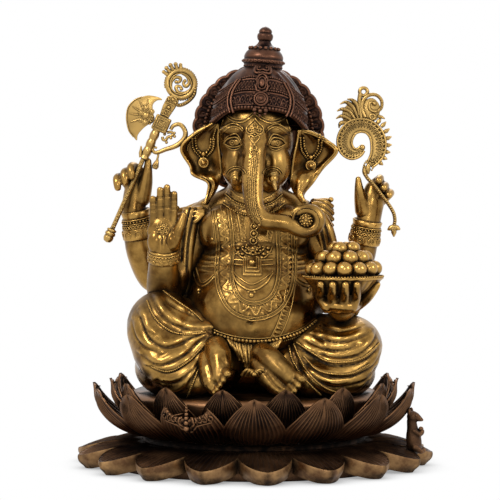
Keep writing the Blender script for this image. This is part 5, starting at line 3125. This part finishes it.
@dataclass
class Mouse:
    """The small mouse that sits up beside the lotus.

    Attributes:
        turn: Its direction, in degrees round the pedestal.
        reach: How far out it sits.
    """

    turn: float = -17.0
    reach: float = 165.0

    def build(self) -> None:
        """Builds the mouse."""
        place = Matrix.Rotation(radians(self.turn), 4, "Z")
        floor = middle("mouse").z - 20.0

        def at(x: float, y: float, z: float) -> Vector:
            """A place from the mouse's middle, in its own direction."""
            return place @ Vector((self.reach + x, y, floor + z))

        clay = Clay()
        clay.chain(
            [(*at(0, 0, 4), 7.5), (*at(-1, 0, 13), 7.6), (*at(-2, 0, 22), 5.6), (*at(-3, 0, 29), 4.8)], 3
        )
        clay.ball(at(-2, 0, 34), 5.8)
        clay.chain([(*at(1, 0, 34), 4.4), (*at(5, 0, 32), 2.8), (*at(7.5, 0, 31), 1.6)], 2)
        for side in (-1, 1):
            clay.ball(at(-4.5, 5 * side, 39), (2.2, 3.6, 3.8))
            clay.chain(
                [(*at(1, 4.5 * side, 20), 2.6), (*at(6, 4 * side, 17), 2.2), (*at(8, 1.6 * side, 20), 1.8)], 2
            )
            clay.chain([(*at(2, 5.5 * side, 4), 4.2), (*at(8, 5 * side, 0.5), 2.6)], 2)
        piece = Piece("sitting_mouse")
        piece.take(clay.skin(0.8, 3))
        for side in (-1, 1):
            piece.bead(at(2.4, 3.7 * side, 35.5), 1.0)
        piece.bead(at(6.4, 0, 22), 2.6)
        piece.wire(curve_through([at(-6, 0, 2), at(-9, 5, 3), at(-8, 9, 8), at(-5, 9.5, 14)], 5), 1.3)
        done(piece, Metal.PEDESTAL, ["mouse"])


# --- Stage -----------------------------------------------------------------------------------------


def seen(tree: bpy.types.NodeTree) -> bpy.types.NodeSocket:
    """Picks out the rays that look at the set: from the camera, off metal and through glass.

    Args:
        tree: The node tree that asks.

    Returns:
        A socket that is 1 for such a ray and 0 for one that only carries light.
    """
    path = add_node(tree, "ShaderNodeLightPath")
    either = path.outputs["Is Camera Ray"]
    for ray in ("Is Glossy Ray", "Is Transmission Ray"):
        both = add_node(tree, "ShaderNodeMath", operation="MAXIMUM")
        tree.links.new(either, both.inputs[0])
        tree.links.new(path.outputs[ray], both.inputs[1])
        either = both.outputs[0]
    return either


@dataclass(frozen=True)
class Lamp:
    """A square soft light.

    Attributes:
        name: Its name.
        place: Where it hangs, in metres.
        aim: The height above the middle of the floor that it points at, in metres.
        size: How wide it is, in metres.
        power: Its power in watts.
    """

    name: str
    place: Point
    aim: float
    size: float
    power: float

    def hang(self) -> None:
        """Hangs the light."""
        light = bpy.data.lights.new(self.name, "AREA")
        light.shape = "SQUARE"
        light.size = self.size
        light.energy = self.power
        held = bpy.data.objects.new(self.name, light)
        held.location = self.place
        aim = Vector((0, 0, self.aim)) - Vector(self.place)
        held.rotation_euler = aim.to_track_quat("-Z", "Y").to_euler()
        bpy.context.scene.collection.objects.link(held)


@dataclass
class Studio:
    """The pale floor, the soft lights and the camera.

    Attributes:
        distance: How far the camera stands from the figure, in metres.
        eye: The camera's height in metres.
        aim: The height it looks at, in metres.
        across: How far left of the middle it stands and looks, in metres.
        lens: Its focal length in millimetres.
        ground: Half the floor's width, in metres.
        contact: How far from the figure the floor darkens, in metres.
        lamps: The lights.
    """

    distance: float = 2.2
    eye: float = 0.280
    aim: float = 0.214
    across: float = -0.004
    lens: float = 158.0
    ground: float = 6.0
    contact: float = 0.05
    lamps: Sequence[Lamp] = (
        Lamp("key", (-0.9, -1.1, 1.5), 0.2, 0.5, 15.0),
        Lamp("fill", (1.3, -0.9, 0.9), 0.2, 0.45, 6.0),
        Lamp("front", (0.1, -1.7, 0.6), 0.2, 0.22, 2.4),
        Lamp("back", (0.2, 1.2, 1.3), 0.25, 0.8, 6.0),
    )

    def sky(self) -> None:
        """Lights the set softly and shows white behind the figure."""
        world = bpy.data.worlds.new("studio")
        bpy.context.scene.world = world
        world.use_nodes = True
        tree = world.node_tree
        tree.nodes.clear()
        link = tree.links.new
        out = add_node(tree, "ShaderNodeOutputWorld")
        shown = add_node(tree, "ShaderNodeBackground", Color=(1, 1, 1, 1))
        room = add_node(tree, "ShaderNodeBackground")
        join = add_node(tree, "ShaderNodeMixShader")
        where = add_node(tree, "ShaderNodeTexCoord")
        split = add_node(tree, "ShaderNodeSeparateXYZ")
        fade = add_node(tree, "ShaderNodeMapRange", From_Min=-0.35, From_Max=1.0)
        tint = add_node(tree, "ShaderNodeValToRGB")
        tint.color_ramp.elements[0].color = (0.035, 0.03, 0.028, 1)
        tint.color_ramp.elements[1].color = (0.34, 0.35, 0.38, 1)
        link(where.outputs["Generated"], split.inputs[0])
        link(split.outputs["Z"], fade.inputs["Value"])
        link(fade.outputs["Result"], tint.inputs["Fac"])
        link(tint.outputs["Color"], room.inputs["Color"])
        link(seen(tree), join.inputs["Fac"])
        link(room.outputs[0], join.inputs[1])
        link(shown.outputs[0], join.inputs[2])
        link(join.outputs[0], out.inputs["Surface"])

    def floor(self) -> None:
        """Lays the pale floor."""
        ground = bmesh.new()
        bmesh.ops.create_grid(ground, x_segments=1, y_segments=1, size=self.ground)
        mesh = bpy.data.meshes.new("floor")
        ground.to_mesh(mesh)
        ground.free()
        made = bpy.data.objects.new("floor", mesh)
        bpy.context.scene.collection.objects.link(made)
        pale = bpy.data.materials.new("pale_floor")
        pale.use_nodes = True
        tree = pale.node_tree
        shader = tree.nodes["Principled BSDF"]
        shader.inputs["Base Color"].default_value = (0.9, 0.9, 0.9, 1)
        shader.inputs["Roughness"].default_value = 0.9
        shown = add_node(tree, "ShaderNodeEmission")
        shade = add_node(tree, "ShaderNodeAmbientOcclusion", Distance=self.contact)
        soft = add_node(tree, "ShaderNodeMapRange", To_Min=0.35, From_Max=0.9)
        join = add_node(tree, "ShaderNodeMixShader")
        tree.links.new(shade.outputs["AO"], soft.inputs["Value"])
        tree.links.new(soft.outputs["Result"], shown.inputs["Strength"])
        tree.links.new(seen(tree), join.inputs["Fac"])
        tree.links.new(shader.outputs[0], join.inputs[1])
        tree.links.new(shown.outputs[0], join.inputs[2])
        tree.links.new(join.outputs[0], tree.nodes["Material Output"].inputs["Surface"])
        mesh.materials.append(pale)

    def camera(self) -> None:
        """Sets up the camera."""
        lens = bpy.data.cameras.new("camera")
        lens.sensor_width = 36.0
        lens.lens = self.lens
        held = bpy.data.objects.new("camera", lens)
        held.location = (self.across, -self.distance, self.eye)
        aim = Vector((self.across, 0, self.aim))
        held.rotation_euler = (aim - held.location).to_track_quat("-Z", "Y").to_euler()
        bpy.context.scene.collection.objects.link(held)
        bpy.context.scene.camera = held

    def build(self) -> None:
        """Sets the stage."""
        self.camera()
        self.sky()
        self.floor()
        for lamp in self.lamps:
            lamp.hang()


def dress_frame() -> None:
    """Gives every construction node that still shows the finish of its slot."""
    slots = {part["node"]: part["material_slot"] for part in FRAME["record"]["subparts"]}
    for name, node in FRAME["nodes"].items():
        metal = Metal(slots[name])
        for place in node.material_slots:
            place.material = MATERIALS[metal]


def main() -> None:
    """Builds the stage and every sub-assembly in order."""
    logging.basicConfig(level=logging.INFO, format="%(name)s: %(message)s")
    bpy.context.scene.view_settings.view_transform = "Standard"
    Studio().build()
    dress_frame()
    for assembly in (
        Pedestal(), Torso(), Legs(), Head(), Crown(), Arms(), Goad(), Noose(), Sweets(), Shawl(), Mouse()
    ):
        LOG.info("building %s", type(assembly).__name__)
        assembly.build()


if __name__ == "__main__":
    main()
